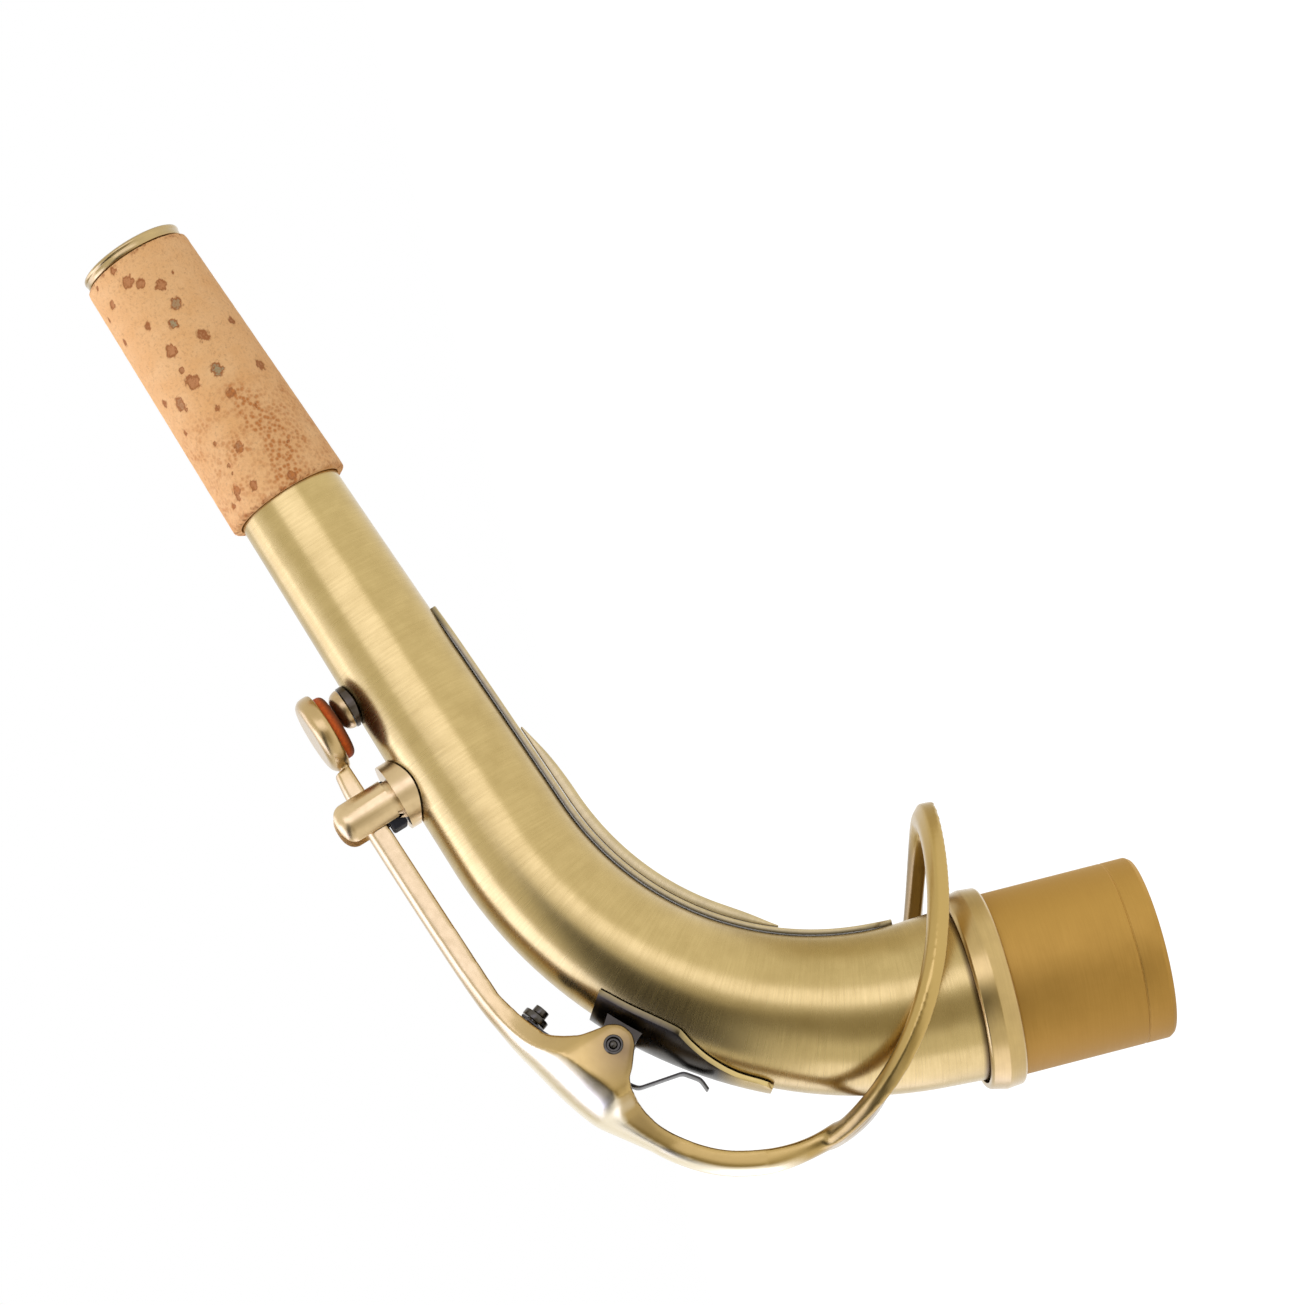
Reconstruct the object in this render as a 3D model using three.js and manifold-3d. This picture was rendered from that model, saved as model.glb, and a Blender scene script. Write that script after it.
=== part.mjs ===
// Saxophone neck with its octave key, in millimetres.
// The origin is on the tenon's axis, in the plane of the collar's lower shoulder. +Z runs up along the tenon's
// axis, the neck bends towards +X, and the plane Y = 0 cuts the neck and its key in half.
import * as THREE from "three";
import { mergeVertices } from "three/addons/utils/BufferGeometryUtils.js";
import Module from "manifold-3d";

const wasm = await Module();
wasm.setup();
const rad = THREE.MathUtils.degToRad;

// Clearances
const seatGap = 0.2; // between two fixed pieces, one on the other
const feltGap = 0.4; // between the resting arm and the felt under it
const runningGap = 0.08; // round the hinge screw, on the radius
const cutOverrun = 2; // how far a cutting solid runs past what it cuts
const mergeDistance = 0.0001;

// Neck tube: a straight foot, one bend and a straight leg up to the mouthpiece end
const footLength = 9.6;
const bendRadius = 50.5;
const bendAngle = rad(72);
const legLength = 95;
const tubeFootRadius = 11.9;
const tubeTipRadius = 6.8;
const tubeWall = 0.7;
const tubeFootSeat = 1.5; // the tube's lower end, above the shoulder plane
// Of the tube's length, of its taper
const taperShares = [[0, 0], [0.3, 0.56], [0.55, 0.735], [0.77, 0.89], [1, 1]];

// Mouthpiece end
const endRingLength = 2.0;
const endRingWall = 0.3;
const endRingLip = 0.6;
const endRingBore = 6.2;
const endRingEdge = 0.15;
const corkLength = 38.2;
const corkTipThickness = 0.65;
const corkBackThickness = 1.05;
const corkEdge = 0.4;

// Tenon and collar
const tenonRadius = 12.25;
const tenonWall = 1.0;
const tenonLength = 20.8; // below the shoulder
const tenonEdge = 0.6;
const scribeWidth = 0.3;
const scribeDepth = 0.15;
const scribeHeight = 3.8; // above the tenon's end
const collarHeight = 4.8;
const collarRidgeRadius = 13.5;
const collarTopRadius = 13.0;
const collarFootRadius = 13.3;
const collarEdge = 0.3;

// Octave pip and its pad
const tipToPip = 68.4;
const pipRingRadius = 2.9;
const pipRingRise = 0.5; // above the tube
const pipDomeRadius = 2.8;
const pipDomeHeight = 1.6;
const pipSeatRadius = 1.2; // the dome's flat top
const pipStemRadius = 1.4;
const pipBoreRadius = 0.5;
const pipStemReach = 1.5; // inside the tube
const tipToPad = 69.7;
const padRadius = 4.6;
const padThickness = 2.3;
const padEdge = 0.6;
const cupRadius = 5.5;
const cupDepth = 1.0;
const cupFloor = 1.6;
const cupEdge = 0.25;
const cupRound = 1.4; // round the back

// Key guide: a fork on a round foot
const tipToGuide = 82.05;
const guideFootRadius = 4.7;
const guideFootRise = 1.45; // above the tube
const guidePostRadius = 3.33;
const guidePostHeight = 8.75; // above the foot
const guidePostRound = 1.9;
const guideSlotWidth = 3.8;
const guideNeckRadius = 3.0;
const guideNeckHeight = 0.8;
const feltLength = 6.6;
const feltShift = 0.65; // towards the hinge
const feltWidth = 3.3;

// Hinge
const hingeAngle = rad(42.4); // along the bend
const hingeRise = 1.75; // the pivot's height above the saddle plate
const hingeBarrelRadius = 2.0;
const hingeScrewRadius = 1.0;
const hingeHeadRadius = 1.3;
const hingeHeadHeight = 0.6;
const hingePostFoot = 3.4; // half the foot's length along the neck
const hingeEndPlay = 0.15;
const screwSlotWidth = 0.4;
const screwSlotDepth = 0.3;

// Saddle plate under the hinge
const plateThickness = 0.9;
const plateTopAngle = rad(47.1);
const plateTailAngle = rad(22.4);
const plateWrapAngle = rad(41);
const plateWrapShares = [
  [0, 0.93], [0.08, 0.96], [0.45, 1], [0.54, 0.84], [0.66, 0.62], [0.81, 0.42], [0.96, 0.35], [1, 0.24],
];

// Brace under the bend
const braceTop = 63; // from the mouthpiece end
const braceFootAngle = rad(3); // along the bend
const braceWidth = 4.6;
const braceThickness = 0.65;
const braceWidthShares = [
  [0, 0.3], [0.02, 0.72], [0.05, 0.95], [0.09, 1], [0.93, 1], [0.97, 0.9], [1, 0.5],
];
const ribTop = 83;
const ribFootAngle = rad(25);
const ribWidth = 1.0;
const ribHeight = 1.4;
const ribHeightShares = [[0, 0.15], [0.1, 0.8], [0.2, 1], [0.8, 1], [0.9, 0.8], [1, 0.15]];

// Key lever
const armRise = 0.5; // the arm's inner face over the cup's rim
const leverHalfWidth = 6.7;
const leverArch = 4.4;
const archAngle = rad(62); // from the arch's top to the crease over each cheek
const cheekThickness = 1.7;
const lugRadius = 2.85;
// Along the arm from the pivot to the cup, up from the pivot to the arm's inner face, half width and arch
const leverCrownShares = [
  [1.0, 1.267, 0.22, 0.14], [0.93, 1.32, 0.23, 0.15], [0.79, 1.349, 0.24, 0.18],
  [0.435, 1.349, 0.28, 0.2], [0.277, 1.32, 0.36, 0.23], [0.198, 1.267, 0.43, 0.25],
  [0.125, 1.209, 0.63, 0.39], [0.089, 1.163, 0.79, 0.57], [0.051, 1.116, 0.94, 0.77],
  [-0.02, 1.029, 1, 0.91], [-0.083, 0.93, 1, 1], [-0.119, 0.86, 0.96, 0.95],
  [-0.142, 0.808, 0.81, 0.77], [-0.164, 0.744, 0.57, 0.5], [-0.198, 0.628, 0.42, 0.34], [-0.23, 0.54, 0.42, 0.3],
];
// The arm's face towards the tube
const leverFaceShares = [[1, 1], [0.275, 0.983], [0.2, 0.884], [0.125, 0.744]];
const cheekFrontShares = [[0.095, 0.6], [0.069, 0.314]];
const cheekBackShares = [[-0.081, -0.023], [-0.113, 0.128], [-0.154, 0.19]];
const lugBackAngle = rad(221); // where the lug's round ends
const leverEndShare = [-0.182, 0.297];
const leverEndAngle = rad(15);
const troughShares = [[0.073, 0.8], [-0.02, 0.69], [-0.083, 0.59], [-0.13, 0.5]]; // the hollow's ceiling
const springSlotShares = [[0.136, 0.78], [0.069, 0.78]];
const springSlotPlay = 0.4;

// Flat spring and its screw
const springWidth = 3.0;
const springThickness = 0.4;
const springScrewShare = 0.172; // along the arm
const springSeatBefore = 1.6; // the spring's end, past the screw
const springSeatAfter = 2.1;
const springElbowPast = 5.0; // past the pivot
const springElbowRise = 0.3; // above the pivot
const springHeelPast = 6.0;
const springHeelDrop = 0.45; // below the pivot
const springTouchAngle = rad(33.4);
const springFootAngle = rad(31.1);
const springTipAngle = rad(29.9);
const springTipRise = 1.0;
const springHoleRadius = 0.9;
const washerRadius = 1.8;
const washerThickness = 0.9;
const springScrewRadius = 0.7;
const springScrewHead = 1.05;
const springScrewHeadHeight = 0.9;
const springScrewReach = 1.4; // into the lever

// Key ring: a curved arm that opens into a loop round the neck
const ringApexHeight = 3.8; // above the shoulder plane
const ringBarThickness = 2.7;
const ringBarWidth = 3.2;
const ringApexWidth = 4.4;
const ringSideClearance = 0.9; // between the loop and the tube's foot
const ringChamfer = 0.45;
const ringFrontPower = 1.8; // of the loop's oval, 2 for an ellipse
const ringBackPower = 1.55;
const ringArmHalfWidth = 2.4;
const ringArmCrown = 0.7;
const ringArmPast = 12.5; // from the arm's bend to the loop
const ringArmStart = 4.5; // length of the two handles of the arm's curve
const ringSplay = 22.3; // length of the handle past the arm's bend
// From the pivot towards -X and down, of the drop from the pivot to the loop's apex
const ringNeckShare = [0.377, 0.25];
const ringHeelShare = [0.034, 0.945];
const ringApexShare = [-0.462, 1];
const ringNeckAngle = rad(57); // below the leg's line, at the arm's bend

// Facets
const tubeSides = 30;
const bendSteps = 20;
const legSteps = 9;
const turnedSides = 36;
const smallSides = 20;
const archSteps = 8;
const roundSteps = 6;
const plateSteps = 14;
const wrapSteps = 10;
const ringSteps = 44;
const ringArmSteps = 16;

const materials = {
  tube: metal("#c9bd84", 0.28),
  keyBrass: metal("#d2a97c", 0.26),
  ringBrass: metal("#b08a4c", 0.3),
  tenonBrass: metal("#b59a62", 0.42),
  tipBrass: metal("#c4b59a", 0.25),
  pipBronze: metal("#8a7050", 0.3),
  silver: metal("#8f8c86", 0.3),
  blackSteel: metal("#232326", 0.35),
  springSteel: metal("#7d8288", 0.3),
  cork: plain("#e1a56e", 0.95),
  pad: plain("#c85514", 0.7),
  felt: plain("#141414", 0.98),
};

function metal(color, roughness) {
  return new THREE.MeshStandardMaterial({ color, metalness: 1, roughness });
}

function plain(color, roughness) {
  return new THREE.MeshStandardMaterial({ color, metalness: 0, roughness });
}

// A closed solid from a geometry: shared vertices are joined, and triangles without area are left out
function solidOf(geometry) {
  const bare = new THREE.BufferGeometry();
  bare.setAttribute("position", geometry.getAttribute("position"));
  bare.setIndex(geometry.getIndex());
  const joined = mergeVertices(bare, mergeDistance);
  const corners = joined.getIndex().array;
  const triangles = [];
  for (let k = 0; k < corners.length; k += 3) {
    const [a, b, c] = corners.subarray(k, k + 3);
    if (a !== b && b !== c && c !== a) triangles.push(a, b, c);
  }
  const vertProperties = new Float32Array(joined.getAttribute("position").array);
  const triVerts = new Uint32Array(triangles);
  return new wasm.Manifold(new wasm.Mesh({ numProp: 3, vertProperties, triVerts }));
}

function geometryOf(solid) {
  const mesh = solid.getMesh();
  const geometry = new THREE.BufferGeometry();
  geometry.setAttribute("position", new THREE.BufferAttribute(mesh.vertProperties, 3));
  geometry.setIndex(new THREE.BufferAttribute(mesh.triVerts, 1));
  geometry.computeVertexNormals();
  return geometry;
}

function cut(geometry, ...cutters) {
  return geometryOf(cutters.reduce((solid, cutter) => solid.subtract(solidOf(cutter)), solidOf(geometry)));
}

function join(...geometries) {
  return geometryOf(geometries.map(solidOf).reduce((all, solid) => all.add(solid)));
}

function common(first, second) {
  return geometryOf(solidOf(first).intersect(solidOf(second)));
}

// The value of a table of [place, value] rows at a place, on a smooth curve through the rows
function fromTable(rows, place) {
  const last = rows.length - 1;
  if (place <= rows[0][0]) return rows[0][1];
  if (place >= rows[last][0]) return rows[last][1];
  const k = rows.findIndex((row) => row[0] > place) - 1;
  const slope = (n) => {
    const before = rows[Math.max(0, n - 1)];
    const after = rows[Math.min(last, n + 1)];
    return (after[1] - before[1]) / (after[0] - before[0]);
  };
  const span = rows[k + 1][0] - rows[k][0];
  const t = (place - rows[k][0]) / span;
  const rise = rows[k + 1][1] - rows[k][1];
  const ease = t * t * (3 - 2 * t);
  const bow = t * (1 - t) * ((1 - t) * (slope(k) * span) - t * (slope(k + 1) * span));
  return rows[k][1] + rise * ease + bow;
}

// The tube's axis: point, direction and outward side of the bend at a length from the shoulder plane
const bendLength = bendRadius * bendAngle;
const tubeLength = footLength + bendLength + legLength;
const across = new THREE.Vector3(0, -1, 0);

function axisAt(length) {
  const turn = THREE.MathUtils.clamp((length - footLength) / bendRadius, 0, bendAngle);
  const along = new THREE.Vector3(Math.sin(turn), 0, Math.cos(turn));
  const outward = new THREE.Vector3(-Math.cos(turn), 0, Math.sin(turn));
  const beyond = Math.min(0, length - footLength) + Math.max(0, length - footLength - bendLength);
  const point = new THREE.Vector3(bendRadius, 0, footLength);
  point.addScaledVector(outward, bendRadius).addScaledVector(along, beyond);
  return { point, along, outward };
}

function lengthAtAngle(angle) {
  return footLength + bendRadius * angle;
}

function tubeRadiusAt(length) {
  return tubeFootRadius + (tubeTipRadius - tubeFootRadius) * fromTable(taperShares, length / tubeLength);
}

// A point at a distance outward from the tube's axis, at an angle along the bend
function besideBend(angle, distance) {
  const place = axisAt(lengthAtAngle(angle));
  return place.point.addScaledVector(place.outward, distance);
}

// A closed solid through sections, each an outline [a, b] on its own axes u and v, with u x v pointing forward
function loft(sections, closed = false) {
  const count = sections[0].outline.length;
  const positions = [];
  for (const { outline, origin, u, v } of sections)
    for (const [a, b] of outline)
      positions.push(...origin.clone().addScaledVector(u, a).addScaledVector(v, b).toArray());
  const index = [];
  const spans = closed ? sections.length : sections.length - 1;
  for (let i = 0; i < spans; i++) {
    const near = i * count;
    const far = ((i + 1) % sections.length) * count;
    for (let j = 0; j < count; j++) {
      const next = (j + 1) % count;
      index.push(near + j, near + next, far + next, near + j, far + next, far + j);
    }
  }
  if (!closed) {
    const caps = [sections[0], sections[sections.length - 1]].map(({ outline }) =>
      THREE.ShapeUtils.triangulateShape(outline.map(([a, b]) => new THREE.Vector2(a, b)), []));
    const end = (sections.length - 1) * count;
    for (const [p, q, r] of caps[0]) index.push(r, q, p);
    for (const [p, q, r] of caps[1]) index.push(end + p, end + q, end + r);
  }
  const geometry = new THREE.BufferGeometry();
  geometry.setAttribute("position", new THREE.Float32BufferAttribute(positions, 3));
  geometry.setIndex(index);
  return geometry;
}

function circle(radius, sides) {
  return Array.from({ length: sides }, (_, k) => {
    const angle = (2 * Math.PI * k) / sides;
    return [radius * Math.cos(angle), radius * Math.sin(angle)];
  });
}

// A point on a low arch, at a share from -1 to 1 of its half width: the drop from its top, and the side
function arcPoint(share, halfWidth, rise) {
  const angle = archAngle * share;
  const drop = (rise * (Math.cos(angle) - 1)) / (1 - Math.cos(archAngle));
  return [drop, (halfWidth * Math.sin(angle)) / Math.sin(archAngle)];
}

// Lengths along the tube at which its sections stand, from one length to another
function stationsBetween(from, to) {
  const bendStep = bendLength / bendSteps;
  const legStep = legLength / legSteps;
  const stations = [from];
  const inside = (length) => length > from + mergeDistance && length < to - mergeDistance;
  for (let k = 0; k <= bendSteps; k++) {
    const length = footLength + k * bendStep;
    if (inside(length)) stations.push(length);
  }
  for (let k = 1; k < legSteps; k++) {
    const length = footLength + bendLength + k * legStep;
    if (inside(length)) stations.push(length);
  }
  stations.push(to);
  return stations;
}

function sectionAt(length, outline) {
  const { point, outward } = axisAt(length);
  return { outline, origin: point, u: outward, v: across };
}

// A round solid along the tube's axis, larger than the tube by a margin on the radius
function roundAlong(from, to, margin) {
  return loft(stationsBetween(from, to).map((length) =>
    sectionAt(length, circle(tubeRadiusAt(length) + margin, tubeSides))));
}

// A turned solid from a closed profile of [radius, height] points, about +Z
function turned(profile, sides) {
  const points = profile.map(([radius, height]) => new THREE.Vector2(radius, height));
  if (THREE.ShapeUtils.area(points) < 0) points.reverse();
  points.push(points[0].clone());
  return new THREE.LatheGeometry(points, sides).rotateX(Math.PI / 2);
}

// A flat outline of x and z points, drawn out to both sides of the plane Y = 0
function slab(shape, halfWidth) {
  const depth = 2 * halfWidth;
  const options = { depth, bevelEnabled: false, curveSegments: archSteps };
  return new THREE.ExtrudeGeometry(shape, options).rotateX(Math.PI / 2).translate(0, halfWidth, 0);
}

function outlineOf(points) {
  return new THREE.Shape(points.map(([x, z]) => new THREE.Vector2(x, z)));
}

// The mouthpiece leg's own frame: its origin at the mouthpiece end, x along the leg and z outward
const tip = axisAt(tubeLength);
const legTurn = Math.atan2(tip.along.z, tip.along.x);
const leg = new THREE.Group();
leg.position.copy(tip.point);
leg.rotation.y = -legTurn;
leg.updateMatrix();
const intoLeg = leg.matrix.clone().invert();

function toLeg(point) {
  return point.clone().applyMatrix4(intoLeg);
}

function fromTip(length) {
  return tubeRadiusAt(tubeLength - length);
}

// Heights and places that several pieces share, in the leg's frame
const endRingRadius = tubeTipRadius + seatGap + endRingWall;
const corkStart = endRingLength + seatGap;
const pipRingTop = fromTip(tipToPip) + seatGap + pipRingRise;
const pipTop = pipRingTop + seatGap + pipDomeHeight;
const padFace = pipTop + seatGap;
const cupRim = padFace + padThickness + seatGap - cupDepth;
const cupTop = cupRim + cupDepth + cupFloor;
const armFace = cupRim + armRise;
const guideFootTop = fromTip(tipToGuide) + seatGap + guideFootRise;
const saddleOuter = (length) => tubeRadiusAt(length) + seatGap + plateThickness + seatGap;
const hingeDistance = saddleOuter(lengthAtAngle(hingeAngle)) + hingeRise;
const hinge = besideBend(hingeAngle, hingeDistance);
const hingeOnLeg = toLeg(hinge);
const armLength = -tipToPad - cupRadius - seatGap - hingeOnLeg.x;
const armHeight = armFace - hingeOnLeg.z;
const cheekInner = leverHalfWidth - cheekThickness;

function onLever([along, up]) {
  return [hingeOnLeg.x + along * armLength, hingeOnLeg.z + up * armHeight];
}

const group = new THREE.Group();
group.add(leg);

function add(parent, name, geometry, material) {
  const mesh = new THREE.Mesh(geometry, material);
  mesh.name = name;
  parent.add(mesh);
  return mesh;
}

// Neck tube, with a hole for the pip's stem
function neckTube() {
  const end = tubeLength - endRingLip - seatGap;
  const body = roundAlong(tubeFootSeat, end, 0);
  const bore = roundAlong(tubeFootSeat - cutOverrun, end + cutOverrun, -tubeWall);
  const holeRadius = pipStemRadius + seatGap;
  const depth = fromTip(tipToPip) + cutOverrun;
  const hole = new THREE.CylinderGeometry(holeRadius, holeRadius, depth, smallSides);
  hole.rotateX(Math.PI / 2).translate(-tipToPip, 0, depth / 2).applyMatrix4(leg.matrix);
  return cut(body, bore, hole);
}
add(group, "neck_tube", neckTube(), materials.tube);

// Ring on the mouthpiece end: its lip closes over the tube's end
function endRing() {
  const inner = tubeTipRadius + seatGap;
  const profile = [
    [endRingBore, 0], [endRingRadius - endRingEdge, 0], [endRingRadius, endRingEdge],
    [endRingRadius, endRingLength - endRingEdge], [endRingRadius - endRingEdge, endRingLength],
    [inner, endRingLength], [inner, endRingLip], [endRingBore, endRingLip],
  ];
  return turned(profile, turnedSides).rotateY(-Math.PI / 2);
}
add(leg, "mouthpiece_end_ring", endRing(), materials.tipBrass);

// Cork sleeve, turned to a slight cone over the tapered tube
function neckCork() {
  const rows = 4;
  const inner = Array.from({ length: rows + 1 }, (_, k) => {
    const length = corkStart + (corkLength * k) / rows;
    return [fromTip(length) + seatGap, length];
  });
  const tipRadius = inner[0][0] + corkTipThickness;
  const backRadius = inner[rows][0] + corkBackThickness;
  const end = corkStart + corkLength;
  const profile = [
    ...inner, [backRadius - corkEdge, end], [backRadius, end - corkEdge],
    [tipRadius, corkStart + corkEdge], [tipRadius - corkEdge, corkStart],
  ];
  return turned(profile, turnedSides).rotateY(-Math.PI / 2);
}
add(leg, "neck_cork", neckCork(), materials.cork);

// What the tube takes up, with a seat gap round it, in the leg's frame
const tubeClear = roundAlong(0, tubeLength, seatGap).applyMatrix4(intoLeg);

// Octave pip: a ring soldered to the tube, and a domed stem through both
function pipRing() {
  const bore = pipStemRadius + seatGap;
  const profile = [[bore, 0], [pipRingRadius, 0], [pipRingRadius, pipRingTop], [bore, pipRingTop]];
  return cut(turned(profile, smallSides).translate(-tipToPip, 0, 0), tubeClear);
}
add(leg, "pip_base_ring", pipRing(), materials.silver);

function ventPip() {
  const foot = fromTip(tipToPip) - tubeWall - pipStemReach;
  const shoulder = pipRingTop + seatGap;
  const dome = Array.from({ length: archSteps + 1 }, (_, k) => {
    const angle = (Math.PI / 2) * (k / archSteps);
    const radius = pipSeatRadius + (pipDomeRadius - pipSeatRadius) * Math.cos(angle);
    return [radius, shoulder + pipDomeHeight * Math.sin(angle)];
  });
  const profile = [
    [pipBoreRadius, foot], [pipStemRadius, foot], [pipStemRadius, shoulder], ...dome, [pipBoreRadius, pipTop],
  ];
  return turned(profile, smallSides).translate(-tipToPip, 0, 0);
}
add(leg, "vent_pip", ventPip(), materials.pipBronze);

// The rounded corner between a turned side and its flat end, as [radius, height] points
function roundedEnd(radius, top, round) {
  return Array.from({ length: roundSteps + 1 }, (_, k) => {
    const angle = (Math.PI / 2) * (k / roundSteps);
    return [radius - round + round * Math.cos(angle), top - round + round * Math.sin(angle)];
  });
}

// Pad and its cup, over the pip
function octavePad() {
  const back = padFace + padThickness;
  const profile = [
    [0, padFace], [padRadius - padEdge, padFace], [padRadius, padFace + padEdge],
    [padRadius, back - padEdge], [padRadius - padEdge, back], [0, back],
  ];
  return turned(profile, turnedSides).translate(-tipToPad, 0, 0);
}
add(leg, "octave_pad", octavePad(), materials.pad);

function padCup() {
  const recess = padRadius + seatGap;
  const floor = cupRim + cupDepth;
  const profile = [
    [0, floor], [recess, floor], [recess, cupRim],
    [cupRadius - cupEdge, cupRim], [cupRadius, cupRim + cupEdge],
    ...roundedEnd(cupRadius, cupTop, cupRound), [0, cupTop],
  ];
  return turned(profile, turnedSides).translate(-tipToPad, 0, 0);
}
add(leg, "pad_cup", padCup(), materials.keyBrass);

// Guide: foot and fork turned from one piece, slotted along the arm
function keyGuide() {
  const neckTop = guideFootTop + guideNeckHeight;
  const postTop = guideFootTop + guidePostHeight;
  const profile = [
    [0, 0], [guideFootRadius, 0], [guideFootRadius, guideFootTop], [guideNeckRadius, guideFootTop],
    [guideNeckRadius, neckTop], [guidePostRadius, neckTop],
    ...roundedEnd(guidePostRadius, postTop, guidePostRound), [0, postTop],
  ];
  const reach = guideFootRadius + cutOverrun;
  const slotTop = postTop + cutOverrun;
  const slot = outlineOf([[-reach, guideFootTop], [reach, guideFootTop], [reach, slotTop], [-reach, slotTop]]);
  const fork = cut(turned(profile, turnedSides), slab(slot, guideSlotWidth / 2));
  return cut(fork.translate(-tipToGuide, 0, 0), tubeClear);
}
add(leg, "key_guide", keyGuide(), materials.keyBrass);

function guideFelt() {
  const foot = guideFootTop + seatGap;
  const height = armFace - feltGap - foot;
  const felt = new THREE.BoxGeometry(feltLength, feltWidth, height);
  return felt.translate(-tipToGuide - feltShift, 0, foot + height / 2);
}
add(leg, "guide_felt", guideFelt(), materials.felt);

// Saddle plate: a shaped sheet wrapped over the outer side of the bend
function saddlePlate() {
  const sections = [];
  for (let k = 0; k <= plateSteps; k++) {
    const share = k / plateSteps;
    const length = lengthAtAngle(plateTopAngle + (plateTailAngle - plateTopAngle) * share);
    const wrap = plateWrapAngle * fromTable(plateWrapShares, share);
    const inner = tubeRadiusAt(length) + seatGap;
    const arc = (radius, way) => Array.from({ length: wrapSteps + 1 }, (_, j) => {
      const angle = way * wrap * ((2 * j) / wrapSteps - 1);
      return [radius * Math.cos(angle), radius * Math.sin(angle)];
    });
    sections.unshift(sectionAt(length, [...arc(inner + plateThickness, 1), ...arc(inner, -1)]));
  }
  return loft(sections);
}
add(group, "saddle_plate", saddlePlate(), materials.keyBrass);

// Hinge frame: its origin on the pivot, z away from the tube and x along it
const hingeFrame = new THREE.Group();
hingeFrame.position.copy(hinge);
hingeFrame.rotation.y = hingeAngle - Math.PI / 2;
hingeFrame.updateMatrix();
group.add(hingeFrame);

function crossRod(radius, from, to, sides) {
  const rod = new THREE.CylinderGeometry(radius, radius, to - from, sides);
  return rod.translate(0, (from + to) / 2, 0);
}

// Hinge post: a bored barrel across the neck, on a foot that follows the saddle plate
function hingePost() {
  const half = cheekInner - hingeEndPlay;
  const depth = hingeRise + hingeDistance / 2;
  const foot = outlineOf([
    [-hingeBarrelRadius, 0], [-hingePostFoot, -depth], [hingePostFoot, -depth], [hingeBarrelRadius, 0],
  ]);
  const barrel = crossRod(hingeBarrelRadius, -half, half, turnedSides);
  const bore = crossRod(hingeScrewRadius + runningGap, -half - cutOverrun, half + cutOverrun, turnedSides);
  const margin = seatGap + plateThickness + seatGap;
  const plate = roundAlong(0, tubeLength, margin).applyMatrix4(hingeFrame.matrix.clone().invert());
  return cut(join(barrel, slab(foot, half)), bore, plate);
}
add(hingeFrame, "hinge_post", hingePost(), materials.keyBrass);

// Hinge screw: its head lies in the near ear
const headSeat = leverHalfWidth - hingeHeadHeight;
function hingeScrew() {
  const head = leverHalfWidth + screwSlotDepth;
  const rod = crossRod(hingeScrewRadius, -headSeat, leverHalfWidth, turnedSides);
  const cap = crossRod(hingeHeadRadius, -head, -headSeat, turnedSides);
  const slot = new THREE.BoxGeometry(2 * hingeHeadRadius + cutOverrun, 2 * screwSlotDepth, screwSlotWidth);
  return cut(join(rod, cap), slot.translate(0, -head, 0));
}
add(hingeFrame, "hinge_screw", hingeScrew(), materials.blackSteel);

// Key lever: the arm, the arched body and its two ears in one casting
const leverEnd = onLever(leverEndShare);
const leverEndNormal = new THREE.Vector2(-Math.sin(leverEndAngle), Math.cos(leverEndAngle));

function leverCrown() {
  const floor = lugRadius + cutOverrun;
  return loft(leverCrownShares.map(([along, up, width, arch]) => {
    const [x, z] = onLever([along, up]);
    const depth = z - hingeOnLeg.z + floor;
    const half = width * leverHalfWidth;
    const outline = Array.from({ length: archSteps + 1 }, (_, k) => {
      return arcPoint(2 * (k / archSteps) - 1, half, arch * leverArch);
    });
    outline.push([-depth, half], [-depth, -half]);
    return { outline, origin: new THREE.Vector3(x, 0, z), u: new THREE.Vector3(0, 0, 1), v: across };
  }).reverse());
}

function leverSide() {
  const shape = new THREE.Shape();
  const high = hingeOnLeg.z + 2 * armHeight;
  leverFaceShares.map(onLever).forEach(([x, z], k) => (k ? shape.lineTo(x, z) : shape.moveTo(x, z)));
  const [bend, foot] = cheekFrontShares.map(onLever);
  shape.quadraticCurveTo(...bend, ...foot);
  shape.lineTo(hingeOnLeg.x + lugRadius, hingeOnLeg.z);
  shape.absarc(hingeOnLeg.x, hingeOnLeg.z, lugRadius, 0, lugBackAngle, true);
  cheekBackShares.map(onLever).forEach(([x, z]) => shape.lineTo(x, z));
  const half = ringBarThickness / 2;
  shape.lineTo(leverEnd[0] - half * leverEndNormal.x, leverEnd[1] - half * leverEndNormal.y);
  const rise = (high - leverEnd[1]) / leverEndNormal.y;
  shape.lineTo(leverEnd[0] + rise * leverEndNormal.x, high);
  shape.lineTo(onLever([1, 1])[0], high);
  return shape;
}

function hollow(ceilingShares) {
  const ceiling = ceilingShares.map(onLever);
  const low = hingeOnLeg.z - lugRadius - cutOverrun;
  return outlineOf([[ceiling[0][0], low], ...ceiling, [ceiling[ceiling.length - 1][0], low]]);
}

const springScrewPlace = onLever([springScrewShare, 0])[0];
const [seatStart, seatEnd] = leverFaceShares.slice(2).map(onLever);
const seatSlope = Math.atan2(seatStart[1] - seatEnd[1], seatStart[0] - seatEnd[0]);
const springScrewFace = seatStart[1] + (springScrewPlace - seatStart[0]) * Math.tan(seatSlope);
const springFrame = new THREE.Group();
springFrame.position.set(springScrewPlace, 0, springScrewFace);
springFrame.rotation.y = Math.PI - seatSlope;
springFrame.updateMatrix();
leg.add(springFrame);

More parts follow.
